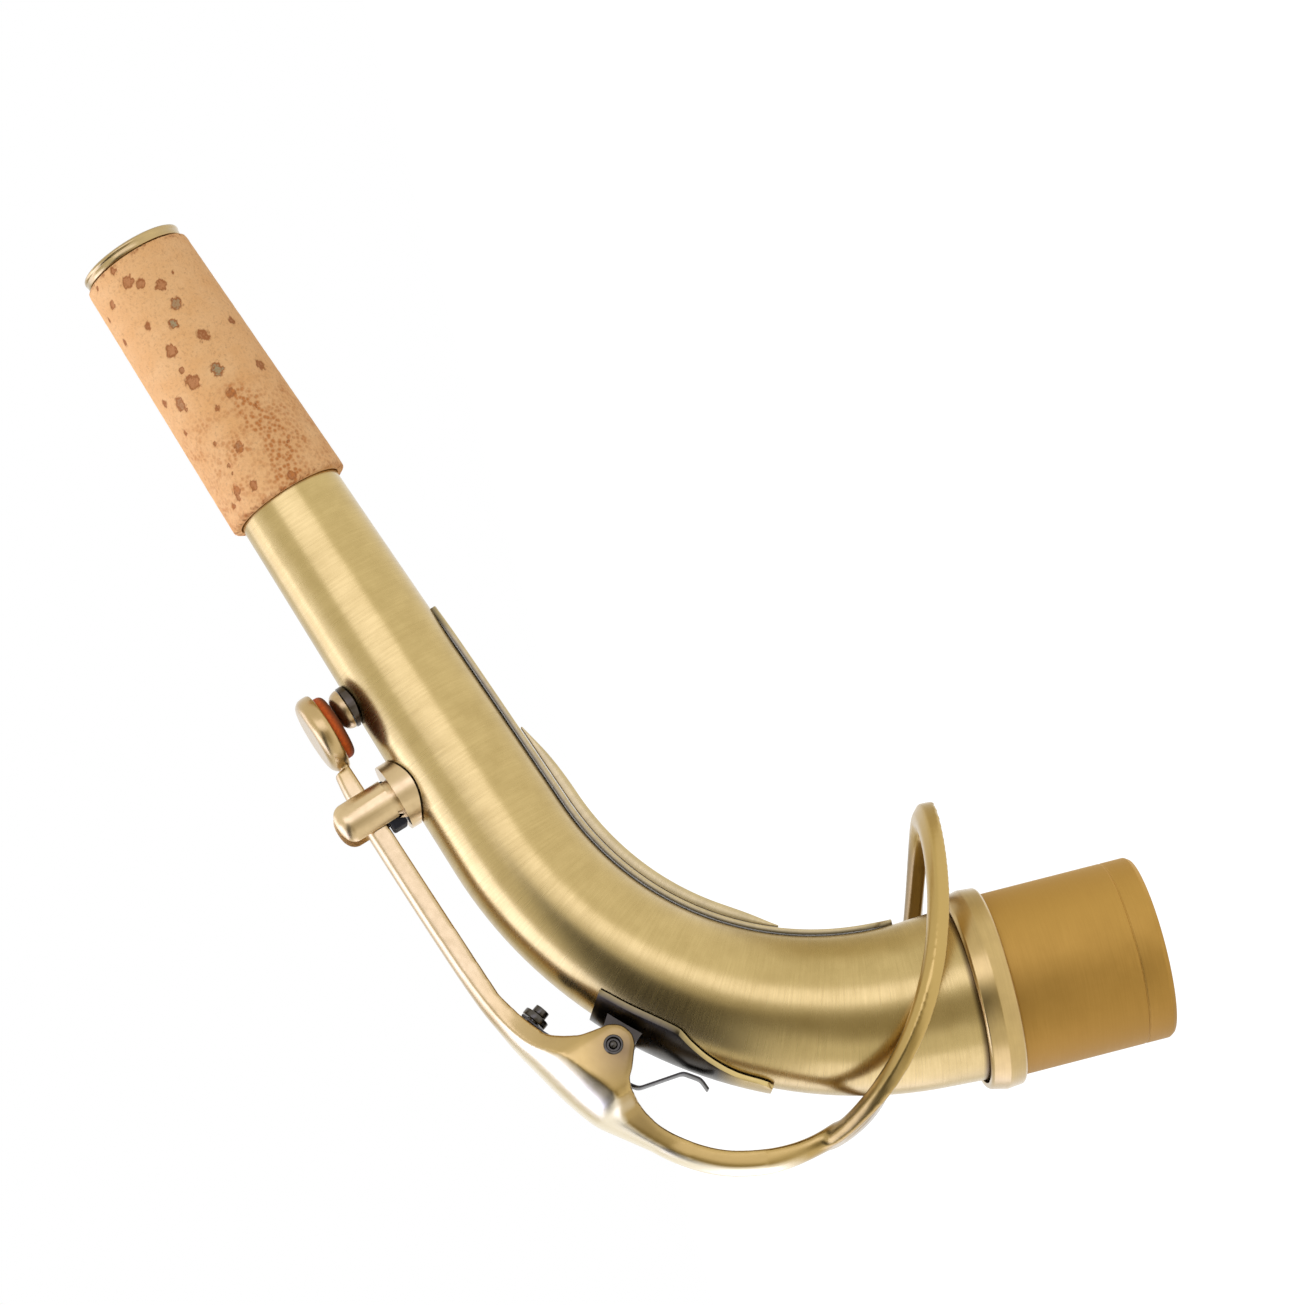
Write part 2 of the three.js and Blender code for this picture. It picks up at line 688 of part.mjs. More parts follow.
function keyLever() {
  const body = common(slab(leverSide(), leverHalfWidth + cutOverrun), leverCrown());
  const trough = slab(hollow(troughShares), cheekInner);
  const springSlot = slab(hollow(springSlotShares), springWidth / 2 + springSlotPlay);
  const toHinge = new THREE.Matrix4().makeTranslation(hingeOnLeg.x, 0, hingeOnLeg.z);
  const reach = leverHalfWidth + cutOverrun;
  const pinHole = crossRod(hingeScrewRadius + runningGap, -reach, reach, turnedSides).applyMatrix4(toHinge);
  const headHole = crossRod(hingeHeadRadius + seatGap / 2, -reach, -headSeat + seatGap / 2, turnedSides);
  const screwHole = new THREE.CylinderGeometry(
    springScrewRadius + seatGap, springScrewRadius + seatGap, 2 * (springScrewReach + seatGap), smallSides);
  screwHole.rotateX(Math.PI / 2).applyMatrix4(springFrame.matrix);
  return cut(body, trough, springSlot, pinHole, headHole.applyMatrix4(toHinge), screwHole);
}
add(leg, "key_lever", keyLever(), materials.keyBrass);

// Spring screw and washer, on the arm's face towards the tube; z runs from the face towards the tube
const springBack = seatGap + springThickness;
const washerBack = springBack + seatGap;
const headBack = washerBack + washerThickness + seatGap;

function springWasher() {
  const bore = springScrewRadius + seatGap;
  return turned([
    [bore, washerBack], [washerRadius, washerBack],
    [washerRadius, washerBack + washerThickness], [bore, washerBack + washerThickness],
  ], smallSides);
}
add(springFrame, "spring_washer", springWasher(), materials.blackSteel);

function springScrew() {
  const top = headBack + springScrewHeadHeight;
  const profile = [
    [0, -springScrewReach], [springScrewRadius, -springScrewReach], [springScrewRadius, headBack],
    [springScrewHead, headBack], [springScrewHead, top], [0, top],
  ];
  const slot = new THREE.BoxGeometry(2 * springScrewHead + cutOverrun, screwSlotWidth, 2 * screwSlotDepth);
  return cut(turned(profile, smallSides), slot.translate(0, 0, top));
}
add(springFrame, "spring_screw", springScrew(), materials.blackSteel);

// Flat spring: from its screw over the hinge post, down to the saddle plate and along it
function flatSpring() {
  const half = springThickness / 2;
  const seat = (distance) => {
    const point = new THREE.Vector3(distance, 0, seatGap + half).applyMatrix4(springFrame.matrix);
    return [point.x, point.z];
  };
  const onPlate = (angle, rise) => {
    const point = toLeg(besideBend(angle, saddleOuter(lengthAtAngle(angle)) + half + rise));
    return [point.x, point.z];
  };
  const line = [
    seat(-springSeatBefore), seat(springSeatAfter),
    [hingeOnLeg.x - springElbowPast, hingeOnLeg.z + springElbowRise],
    [hingeOnLeg.x - springHeelPast, hingeOnLeg.z - springHeelDrop],
    onPlate(springTouchAngle, 0), onPlate(springFootAngle, 0), onPlate(springTipAngle, springTipRise),
  ].map(([x, z]) => new THREE.Vector2(x, z));
  const run = (k) => line[k].clone().sub(line[k - 1]).normalize();
  const side = (way) => line.map((point, k) => {
    const before = run(Math.max(1, k));
    const after = run(Math.min(line.length - 1, k + 1));
    const middle = before.clone().add(after).normalize();
    const reach = (way * half) / middle.dot(after);
    return [point.x - reach * middle.y, point.y + reach * middle.x];
  });
  const strip = slab(outlineOf([...side(1), ...side(-1).reverse()]), springWidth / 2);
  const reach = springBack + cutOverrun;
  const hole = new THREE.CylinderGeometry(springHoleRadius, springHoleRadius, 2 * reach, smallSides);
  return cut(strip, hole.rotateX(Math.PI / 2).applyMatrix4(springFrame.matrix));
}
add(leg, "flat_spring", flatSpring(), materials.springSteel);

// Key ring: its middle line runs from the lever's end round the outer side of the bend to the loop's apex
const keyDrop = hinge.z - ringApexHeight;
function fromHinge([back, down]) {
  return new THREE.Vector3(hinge.x - back * keyDrop, 0, hinge.z - down * keyDrop);
}

function legDirection(angle) {
  return new THREE.Vector3(-Math.cos(angle), 0, -Math.sin(angle)).transformDirection(leg.matrix);
}

function ringSpine() {
  const start = new THREE.Vector3(leverEnd[0], 0, leverEnd[1]).applyMatrix4(leg.matrix);
  const startWay = legDirection(leverEndAngle);
  const neck = fromHinge(ringNeckShare);
  const neckWay = legDirection(ringNeckAngle);
  const spine = new THREE.CurvePath();
  spine.add(new THREE.CubicBezierCurve3(
    start.clone().addScaledVector(startWay, seatGap), start.clone().addScaledVector(startWay, ringArmStart),
    neck.clone().addScaledVector(neckWay, -ringArmStart), neck));
  const splay = neck.clone().addScaledVector(neckWay, ringSplay);
  spine.add(new THREE.CubicBezierCurve3(neck, splay, fromHinge(ringHeelShare), fromHinge(ringApexShare)));
  return spine;
}
const spine = ringSpine();
const [bendSpan, spineSpan] = spine.getCurveLengths();
const armSpan = bendSpan + ringArmPast;
const loopHalfLength = (spineSpan - ringApexWidth / 2 - armSpan + ringBarWidth / 2) / 2;
const loopHalfWidth = tubeFootRadius + ringSideClearance + ringBarWidth / 2;

// Place on the spine at a length from the lever's end, with the direction and the side away from the tube
function onSpine(length) {
  const share = THREE.MathUtils.clamp(length / spineSpan, 0, 1);
  const along = spine.getTangentAt(share);
  const point = spine.getPointAt(share).addScaledVector(along, length - share * spineSpan);
  const away = new THREE.Vector3(0, 1, 0).cross(along);
  return { point, along, away };
}

function ringArm() {
  const half = ringBarThickness / 2;
  const end = armSpan + ringBarWidth / 2;
  const sections = Array.from({ length: ringArmSteps + 1 }, (_, k) => {
    const share = k / ringArmSteps;
    const { point, away } = onSpine(end * share);
    const crown = ringArmCrown * (1 - share);
    const wide = ringArmHalfWidth + (ringBarWidth / 2 - ringArmHalfWidth) * share;
    const top = Array.from({ length: archSteps + 1 }, (_, j) => {
      const [drop, side] = arcPoint(2 * (j / archSteps) - 1, wide, crown);
      return [half + crown + drop, side];
    });
    const outline = [...top, [-half, wide], [-half, -wide]];
    return { outline, origin: point, u: away, v: across.clone().negate() };
  });
  return loft(sections);
}

function ringLoop() {
  const middle = armSpan + loopHalfLength - ringBarWidth / 2;
  const placeAt = (angle) => {
    const exponent = 2 / (Math.cos(angle) > 0 ? ringBackPower : ringFrontPower);
    const oval = (value) => Math.sign(value) * Math.abs(value) ** exponent;
    const { point, away } = onSpine(middle - loopHalfLength * oval(Math.cos(angle)));
    point.y = loopHalfWidth * oval(Math.sin(angle));
    return { point, away };
  };
  const half = ringBarThickness / 2;
  const sections = Array.from({ length: ringSteps }, (_, k) => {
    const angle = (2 * Math.PI * k) / ringSteps;
    const step = Math.PI / ringSteps / 4;
    const { point, away } = placeAt(angle);
    const forward = placeAt(angle + step).point.sub(placeAt(angle - step).point).normalize();
    const u = away.sub(forward.clone().multiplyScalar(away.dot(forward))).normalize();
    const apexShare = Math.max(0, -Math.cos(angle)) ** 3;
    const wide = (ringBarWidth + (ringApexWidth - ringBarWidth) * apexShare) / 2;
    const c = ringChamfer;
    const outline = [
      [half, wide - c], [half - c, wide], [c - half, wide], [-half, wide - c],
      [-half, c - wide], [c - half, -wide], [half - c, -wide], [half, c - wide],
    ];
    return { outline, origin: point, u, v: forward.cross(u) };
  });
  return loft(sections, true);
}
add(group, "key_ring", join(ringArm(), ringLoop()), materials.ringBrass);

// Brace: a flat strip along the inner side of the bend, with a rib along its middle
function strapSections(from, to, rows, sizeAt) {
  const stations = stationsBetween(from, to);
  const ends = rows.map(([share]) => from + (to - from) * share);
  const all = [...new Set([...stations, ...ends])].sort((p, q) => p - q);
  return all.map((length) => {
    const { inner, outer, half } = sizeAt(length, (length - from) / (to - from));
    return sectionAt(length, [[-inner, -half], [-inner, half], [-outer, half], [-outer, -half]]);
  });
}

const braceStart = lengthAtAngle(braceFootAngle);
const braceEnd = tubeLength - braceTop;
function bracePlate() {
  return loft(strapSections(braceStart, braceEnd, braceWidthShares, (length, share) => {
    const inner = tubeRadiusAt(length) + seatGap;
    const half = (braceWidth / 2) * fromTable(braceWidthShares, 1 - share);
    return { inner, outer: inner + braceThickness, half };
  }));
}
add(group, "brace_plate", bracePlate(), materials.keyBrass);

function braceRib() {
  const foot = lengthAtAngle(ribFootAngle);
  return loft(strapSections(foot, tubeLength - ribTop, ribHeightShares, (length, share) => {
    const inner = tubeRadiusAt(length) + seatGap + braceThickness + seatGap;
    return { inner, outer: inner + ribHeight * fromTable(ribHeightShares, share), half: ribWidth / 2 };
  }));
}
add(group, "brace_rib", braceRib(), materials.tube);

// Collar and tenon, turned about the tenon's axis
function tenonCollar() {
  const tubeBore = tubeFootRadius + seatGap;
  const tenonBore = tenonRadius + seatGap;
  const step = tubeFootSeat;
  return turned([
    [tenonBore, 0], [collarFootRadius - collarEdge, 0], [collarFootRadius, collarEdge],
    [collarRidgeRadius, collarHeight / 2], [collarTopRadius, collarHeight - collarEdge],
    [collarTopRadius - collarEdge, collarHeight], [tubeBore, collarHeight],
    [tubeBore, step], [tenonBore, step],
  ], turnedSides);
}
add(group, "tenon_collar", tenonCollar(), materials.tube);

function tenonSleeve() {
  const top = tubeFootSeat - seatGap;
  const bore = tenonRadius - tenonWall;
  const scribe = scribeHeight - tenonLength;
  return turned([
    [bore, top], [bore, -tenonLength],
    [tenonRadius - tenonEdge, -tenonLength], [tenonRadius, tenonEdge - tenonLength],
    [tenonRadius, scribe - scribeWidth / 2], [tenonRadius - scribeDepth, scribe],
    [tenonRadius, scribe + scribeWidth / 2], [tenonRadius, top],
  ], turnedSides);
}
add(group, "tenon_sleeve", tenonSleeve(), materials.tenonBrass);

export default group;
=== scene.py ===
# %% [markdown]
# # A saxophone neck with its octave key
# The imported model comes in first: every solid is in place, in metres, in one frame. The origin is on the
# tenon's axis at the collar's shoulder, +Z runs up the tenon, and the tube bends towards +X. The pieces below
# take the place of these solids.

# %% Load the imported model
import bpy
import bmesh
import math
import random
from math import radians
from mathutils import Matrix, Vector, noise
from mathutils.kdtree import KDTree


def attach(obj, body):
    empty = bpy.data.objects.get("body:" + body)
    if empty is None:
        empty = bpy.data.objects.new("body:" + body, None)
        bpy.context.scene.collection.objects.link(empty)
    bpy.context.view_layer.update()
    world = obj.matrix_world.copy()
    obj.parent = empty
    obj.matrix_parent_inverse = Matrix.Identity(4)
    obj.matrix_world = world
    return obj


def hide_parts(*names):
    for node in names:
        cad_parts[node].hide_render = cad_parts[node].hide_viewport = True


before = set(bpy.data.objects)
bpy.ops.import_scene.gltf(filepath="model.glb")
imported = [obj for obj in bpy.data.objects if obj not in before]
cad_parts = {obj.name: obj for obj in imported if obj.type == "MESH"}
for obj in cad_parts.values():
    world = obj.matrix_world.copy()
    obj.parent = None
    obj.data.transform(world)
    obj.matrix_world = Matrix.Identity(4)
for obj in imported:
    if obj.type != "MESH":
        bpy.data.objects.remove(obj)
bpy.context.view_layer.update()
mm = 0.001

# %% [markdown]
# ## The camera
# A long lens stands three quarters of a metre off, a little to the left of the neck's middle plane and above it.
# It is turned far round its own line of sight, so that the neck lies across the picture with its cork at the
# upper left. The lens gives the picture's width on a 36 mm sensor, because a picture's field of view is only its
# lens against its sensor.

# %% Camera
def direction(azimuth, elevation):
    # Azimuth is counted from -Y towards +X, and elevation up from the horizon
    a, e = radians(azimuth), radians(elevation)
    return Vector((math.sin(a) * math.cos(e), -math.cos(a) * math.cos(e), math.sin(e)))


camera_target = Vector((54.787, 0, 32.799)) * mm
camera_distance = 760 * mm
camera_back = direction(-11.618, 5.960)
camera_roll = radians(-103.993)
camera_data = bpy.data.cameras.new("picture_camera")
camera_data.sensor_width = 36
camera_data.lens = 157.24
camera_data.clip_start = 0.05
camera_data.clip_end = 20
camera = bpy.data.objects.new("picture_camera", camera_data)
bpy.context.scene.collection.objects.link(camera)
level_view = (-camera_back).to_track_quat("-Z", "Y").to_matrix()
camera.matrix_world = Matrix.Translation(camera_target + camera_back * camera_distance) @ (
    level_view @ Matrix.Rotation(camera_roll, 3, "Z")).to_4x4()
bpy.context.scene.camera = camera
bpy.context.scene.view_settings.view_transform = "Standard"
print("camera at", [round(c, 4) for c in camera.matrix_world.translation])

# %% [markdown]
# ## Nodes and primitives
# Finishes and lights are built from nodes. One helper adds a node and fills its sockets: with a number, with a
# colour, or with a link where the value is another node or its output. Sockets are named with an underscore for
# a space, and a name that is no socket is one of the node's settings.

# %% Helpers for nodes and primitives
def feed(tree, node, values):
    for key, value in values.items():
        socket = key.replace("_", " ") if isinstance(key, str) else key
        if isinstance(value, bpy.types.Node):
            value = value.outputs[0]
        if isinstance(key, str) and socket not in node.inputs:
            setattr(node, key, value)
        elif isinstance(value, bpy.types.NodeSocket):
            tree.links.new(value, node.inputs[socket])
        else:
            node.inputs[socket].default_value = value


def add(tree, kind, *sockets, **values):
    made = tree.nodes.new("ShaderNode" + kind)
    feed(tree, made, {**values, **dict(enumerate(sockets))})
    return made


def empty_tree(owner):
    owner.use_nodes = True
    owner.node_tree.nodes.clear()
    return owner.node_tree


def new_piece(name, operator, **values):
    # A new primitive, with nothing else selected
    bpy.ops.object.select_all(action="DESELECT")
    operator(**values)
    bpy.context.object.name = name
    return bpy.context.object


# %% [markdown]
# ## The studio
# Brass shows what stands round it more than it shows its own colour, so the light is laid out as a product
# photographer does it: a white room, soft boxes where the metal should gleam, and dark cards where it should
# fall away. The room counts as plain white for the camera and in reflections, and as a softer grey for the
# light that it sheds. The floor is white as well, and keeps a part of its shading, so that it holds a shadow.

# %% White room
white, room_shed = (1, 1, 1, 1), 0.74


def light_path_mix(tree, seen, shed):
    # Camera, glossy and transmission rays get the seen shader, and all the others the shed one
    path = add(tree, "LightPath").outputs
    directly = path["Is Camera Ray"]
    for ray in ("Is Glossy Ray", "Is Transmission Ray"):
        directly = add(tree, "Math", directly, path[ray], operation="MAXIMUM").outputs[0]
    return add(tree, "MixShader", directly, shed, seen)


world = bpy.data.worlds.new("white_room")
world_tree = empty_tree(world)
world_seen, world_shed = (add(world_tree, "Background", Color=white, Strength=level) for level in (1, room_shed))
add(world_tree, "OutputWorld", Surface=light_path_mix(world_tree, world_seen, world_shed))
bpy.context.scene.world = world
print("world:", len(world_tree.nodes), "nodes")

# %% Floor, far enough below that the neck's shadow falls outside the picture
floor_height, floor_size, floor_glow = -0.3, 8, 0.9
floor = new_piece("studio_floor", bpy.ops.mesh.primitive_plane_add, size=floor_size, location=(0, 0, floor_height))
floor_material = bpy.data.materials.new("white_floor")
floor_tree = empty_tree(floor_material)
floor_seen = add(floor_tree, "AddShader", add(floor_tree, "BsdfDiffuse", Color=(0.3, 0.3, 0.3, 1)),
                 add(floor_tree, "Emission", Strength=floor_glow))
floor_shed = add(floor_tree, "BsdfDiffuse", Color=(0.7, 0.7, 0.7, 1))
add(floor_tree, "OutputMaterial", Surface=light_path_mix(floor_tree, floor_seen, floor_shed))
floor.data.materials.append(floor_material)
print("floor at", floor_height)

# %% [markdown]
# Each soft box and card is placed by the direction in which the metal sees it. A lamp's power is what gives the
# wanted brightness over its face, where 1 is as bright as the white room.

# %% Soft boxes
studio_centre = Vector((45, 0, 40)) * mm
tip_centre = Vector((125, 0, 105)) * mm


def facing(azimuth, elevation, distance, about=studio_centre, turn=0):
    # A place that looks back at the neck
    back = direction(azimuth, elevation)
    aim = back.to_track_quat("Z", "Y").to_matrix() @ Matrix.Rotation(radians(turn), 3, "Z")
    return Matrix.Translation(about + back * distance) @ aim.to_4x4()


def half_sizes(distance, *angles):
    return [distance * math.tan(radians(angle) / 2) for angle in angles]


def soft_box(name, azimuth, elevation, width, height, brightness, colour, distance=0.8, about=studio_centre):
    lamp = bpy.data.lights.new(name, "AREA")
    lamp.shape = "RECTANGLE"
    lamp.size, lamp.size_y = (2 * half for half in half_sizes(distance, width, height))
    lamp.energy = brightness * math.pi * lamp.size * lamp.size_y
    lamp.color = colour
    holder = bpy.data.objects.new(name, lamp)
    bpy.context.scene.collection.objects.link(holder)
    holder.matrix_world = facing(azimuth, elevation, distance, about)
    holder.visible_camera = False
    print(name, "size", round(lamp.size, 3), round(lamp.size_y, 3), "power", round(lamp.energy, 2))


# Azimuth, elevation, width and height in degrees, brightness and colour
cool_white, cold_white = (0.92, 0.99, 1.6), (0.95, 1.08, 2.0)
soft_box("front_soft_box", 14, 17, 25, 52, 1.1, cool_white)
soft_box("top_soft_box", -98, 64, 34, 42, 1.6, cold_white)
soft_box("back_soft_box", -112, 5, 60, 26, 0.9, cool_white)
soft_box("tip_soft_box", -166, 62, 44, 34, 1.05, cool_white, distance=0.4, about=tip_centre)

# %% Dark cards, soft at their edges and seen only in reflections
def dark_card(name, azimuth, elevation, width, height, level, edge, turn=0, distance=0.75):
    card = new_piece(name, bpy.ops.mesh.primitive_plane_add, size=2)
    halves = half_sizes(distance, width, height)
    card.matrix_world = facing(azimuth, elevation, distance, turn=turn) @ Matrix.Diagonal((*halves, 1, 1))
    card.visible_camera = card.visible_diffuse = card.visible_shadow = False
    material = bpy.data.materials.new(name)
    tree = empty_tree(material)
    place = add(tree, "SeparateXYZ", add(tree, "TexCoord").outputs["Object"]).outputs
    fades = []
    for axis in "XY":
        size = add(tree, "Math", place[axis], operation="ABSOLUTE")
        fades.append(add(tree, "MapRange", size, 1 - edge, 1, 1, 0, interpolation_type="SMOOTHSTEP"))
    dark = add(tree, "Math", *fades, operation="MULTIPLY")
    face = add(tree, "Emission", Color=(1, 0.9, 0.65, 1), Strength=level)
    mix = add(tree, "MixShader", dark, add(tree, "BsdfTransparent"), face)
    add(tree, "OutputMaterial", Surface=mix)
    card.data.materials.append(material)
    print(name, "at", [round(c, 3) for c in card.matrix_world.translation])


# Azimuth, elevation, width and height in degrees, brightness, and the share of each half that fades out
dark_card("front_dark_card", -47, 36, 86, 34, 0.02, 0.4, turn=-17)
dark_card("low_dark_card", -27, 1, 60, 34, 0.42, 0.65, distance=0.72)
dark_card("back_dark_card", -147, 43, 50, 32, 0.6, 0.6)
dark_card("side_grey_card", 112, -30, 100, 90, 0.7, 0.8)

# %% [markdown]
# ## The tube's axis
# Everything sits on one bent, tapering tube, so the places of all pieces come from its middle line: a short
# straight foot, a bend and a long straight leg. The same numbers drive the solids. The pieces are modelled in
# millimetres, because Blender's tools are easier to steer at that size, and are brought to metres at the end.

# %% Axis and taper
foot_length, leg_length = 9.6, 95
bend_radius, bend_angle = 50.5, radians(72)
bend_length = bend_radius * bend_angle
tube_length = foot_length + bend_length + leg_length
foot_radius, taper_drop = 11.9, 5.1
taper = [(0, 0), (0.3, 0.56), (0.55, 0.735), (0.77, 0.89), (1, 1)]
gap = 0.2


def from_table(rows, place, column=1):
    # A smooth curve through the rows of a table, read at a place
    last = len(rows) - 1
    if place <= rows[0][0]:
        return rows[0][column]
    if place >= rows[last][0]:
        return rows[last][column]
    k = max(n for n in range(last) if rows[n][0] <= place)

    def slope(n):
        before, after = rows[max(0, n - 1)], rows[min(last, n + 1)]
        return (after[column] - before[column]) / (after[0] - before[0])
    span = rows[k + 1][0] - rows[k][0]
    t = (place - rows[k][0]) / span
    rise = rows[k + 1][column] - rows[k][column]
    bow = t * (1 - t) * ((1 - t) * slope(k) * span - t * slope(k + 1) * span)
    return rows[k][column] + rise * t * t * (3 - 2 * t) + bow


def axis_at(length):
    # A point of the middle line, the way along it and the way outward
    turn = min(max((length - foot_length) / bend_radius, 0), bend_angle)
    along = Vector((math.sin(turn), 0, math.cos(turn)))
    outward = Vector((-math.cos(turn), 0, math.sin(turn)))
    beyond = min(0, length - foot_length) + max(0, length - foot_length - bend_length)
    return Vector((bend_radius, 0, foot_length)) + outward * bend_radius + along * beyond, along, outward


def radius_at(length):
    return foot_radius - taper_drop * from_table(taper, length / tube_length)


def angle_length(degrees):
    return foot_length + bend_radius * radians(degrees)


def place_from(origin, x_axis, z_axis):
    # A 4x4 place with its own x and z directions
    y_axis = z_axis.cross(x_axis)
    return Matrix.Translation(origin) @ Matrix((x_axis, y_axis, z_axis)).transposed().to_4x4()


def on_tube(length):
    # x outward and z along the tube
    point, along, outward = axis_at(length)
    return place_from(point, outward, along)


tip_point, tip_along, tip_outward = axis_at(tube_length)
leg_place = place_from(tip_point, tip_along, tip_outward)
to_leg = leg_place.inverted()
crosswise = Vector((0, 1, 0))
print("tube length", round(tube_length, 2), "mm, tip at", [round(c, 2) for c in tip_point])

# %% [markdown]
# ## The workbench
# A handful of helpers do what a modeller does by hand. A piece starts from a primitive, grows by extruding and
# by moving, turning and resizing what was extruded, and its edges are rounded at the end. With no window the
# turn operator works the other way round, so it gets the angle with its sign changed.

# %% Start, move and grow
def new_point(name, x=0, y=0, z=0):
    # One lone point: a small plane whose corners are merged
    piece = new_piece(name, bpy.ops.mesh.primitive_plane_add, size=1)
    bpy.ops.object.mode_set(mode="EDIT")
    bpy.ops.mesh.select_mode(type="VERT")
    bpy.ops.mesh.merge(type="CENTER")
    bpy.ops.transform.translate(value=(x, y, z))
    return piece


def extrude(x, y, z):
    bpy.ops.mesh.extrude_region_move(TRANSFORM_OT_translate={"value": (x, y, z)})


def turn_selected(rotation, centre):
    for angle, axis in zip(rotation.to_euler("XYZ"), "XYZ"):
        if abs(angle) > 1e-9:
            bpy.ops.transform.rotate(value=-angle, orient_axis=axis, center_override=centre)


def move_on(before, after, size_before=(1, 1), size_after=(1, 1)):
    # The selected section goes from one place to the next, and takes its size there
    bpy.ops.transform.translate(value=after.translation - before.translation)
    centre = after.translation
    turn_selected(after.to_3x3() @ before.to_3x3().transposed(), centre)
    ratio = (size_after[0] / size_before[0], size_after[1] / size_before[1], 1)
    bpy.ops.transform.resize(
        value=ratio, orient_type="GLOBAL", orient_matrix=after.to_3x3().transposed(),
        orient_matrix_type="GLOBAL", center_override=centre)


def outline_face(name, points):
    # A flat face in the plane z = 0 from a chain of extruded points
    piece = new_point(name, points[0][0], points[0][1])
    for (a, b), (c, d) in zip(points, points[1:]):
        extrude(c - a, d - b, 0)
    bpy.ops.mesh.select_all(action="SELECT")
    bpy.ops.mesh.edge_face_add()
    return piece


def close_up(piece):
    bpy.ops.mesh.select_all(action="SELECT")
    bpy.ops.mesh.remove_doubles(threshold=0.001)
    bpy.ops.mesh.normals_make_consistent(inside=False)
    bpy.ops.object.mode_set(mode="OBJECT")


def sweep(piece, places, sizes=None):
    # The selected face is drawn out through a row of places
    sizes = sizes or [(1, 1)] * len(places)
    move_on(Matrix.Identity(4), places[0], size_after=sizes[0])
    for k in range(1, len(places)):
        extrude(0, 0, 0)
        move_on(places[k - 1], places[k], sizes[k - 1], sizes[k])
    close_up(piece)
    return piece


def turned(name, profile, place=None, sides=96):
    # A closed profile of (radius, height) points is spun about z, as on a lathe
    piece = new_point(name, profile[0][0], 0, profile[0][1])
    for (r0, h0), (r1, h1) in zip(profile, profile[1:] + profile[:1]):
        extrude(r1 - r0, 0, h1 - h0)
    bpy.ops.mesh.select_all(action="SELECT")
    bpy.ops.mesh.spin(steps=sides, angle=2 * math.pi, center=(0, 0, 0), axis=(0, 0, 1))
    close_up(piece)
    if place is not None:
        settle(piece, place)
    return piece


def sleeve(name, inner, outer, low, high, place=None, sides=96):
    # A straight rod, or a tube where it has an inner radius
    return turned(name, [(inner, low), (outer, low), (outer, high), (inner, high)], place, sides)


def arc(x, y, radius, degrees):
    return [(x + radius * math.cos(radians(a)), y + radius * math.sin(radians(a))) for a in degrees]


def slab(name, points, half_width, place=None):
    # An outline of (x, z) points, drawn out to both sides of the plane y = 0
    piece = outline_face(name, points)
    turn_selected(Matrix.Rotation(radians(90), 3, "X"), (0, 0, 0))
    bpy.ops.transform.translate(value=(0, -half_width, 0))
    extrude(0, 2 * half_width, 0)
    close_up(piece)
    if place is not None:
        settle(piece, place)
    return piece

# %% Place, finish and hand over
def tell(piece):
    print(piece.name, len(piece.data.polygons), "faces")


def only(piece):
    bpy.ops.object.select_all(action="DESELECT")
    piece.select_set(True)
    bpy.context.view_layer.objects.active = piece


def settle(piece, place):
    # The place goes into the mesh, and the object stays at the origin
    only(piece)
    piece.matrix_world = place @ piece.matrix_world
    bpy.ops.object.transform_apply(location=True, rotation=True, scale=True)


def apply(piece, kind, name, **values):
    only(piece)
    modifier = piece.modifiers.new(name, kind)
    for key, value in values.items():
        setattr(modifier, key, value)
    bpy.ops.object.modifier_apply(modifier=name)


def round_edges(piece, width, segments=2, angle=30):
    apply(piece, "BEVEL", "round_edges", width=width, segments=segments, limit_method="ANGLE",
          angle_limit=radians(angle))


def carve(piece, tool, way="DIFFERENCE"):
    apply(piece, "BOOLEAN", "carve", object=tool, operation=way, solver="EXACT")
    bpy.data.objects.remove(tool)


def cast(piece, voxel, smoothing):
    # Overlapping solids melt into one casting with soft inner corners
    apply(piece, "REMESH", "melt", mode="VOXEL", voxel_size=voxel, adaptivity=0)
    apply(piece, "SMOOTH", "file_smooth", factor=0.5, iterations=smoothing)


def melt_together(name, pieces):
    only(pieces[0])
    for piece in pieces[1:]:
        piece.select_set(True)
    bpy.ops.object.join()
    pieces[0].name = name
    return pieces[0]


def hand_over(piece, material, body, slot, *stands_for, smooth=40):
    # Millimetres become metres, and the piece takes its finish, its body and the solids that it stands for
    settle(piece, Matrix.Scale(mm, 4))
    bpy.ops.object.shade_smooth_by_angle(angle=radians(smooth))
    piece.data.materials.clear()
    piece.data.materials.append(material)
    piece.data.name = piece.name
    mark_brushing(piece)
    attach(piece, body)
    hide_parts(*stands_for)
    print(piece.name, len(piece.data.polygons), "faces, for", ", ".join(stands_for))

# %% [markdown]
# Brush marks run round the tube, so their pattern has to follow its bend. Each point of a piece is told how
# far along the tube it lies and where it stands round it, as an attribute that the materials read.

# %% Brushing directions
def along_and_out(point):
    # How far along the tube a point lies, and how far out from its middle line
    swing = math.atan2(point.z - foot_length, bend_radius - point.x)
    if point.z < foot_length:
        return point.z, -point.x
    if swing < bend_angle:
        side = math.hypot(point.x - bend_radius, point.z - foot_length) - bend_radius
        return foot_length + bend_radius * swing, side
    return tube_length + (point - tip_point).dot(tip_along), (point - tip_point).dot(tip_outward)


def clamped(value):
    return max(0, min(1, value))


def keep_values(piece, name, values, kind="FLOAT", field="value"):
    piece.data.attributes.new(name, kind, "POINT").data.foreach_set(field, values)


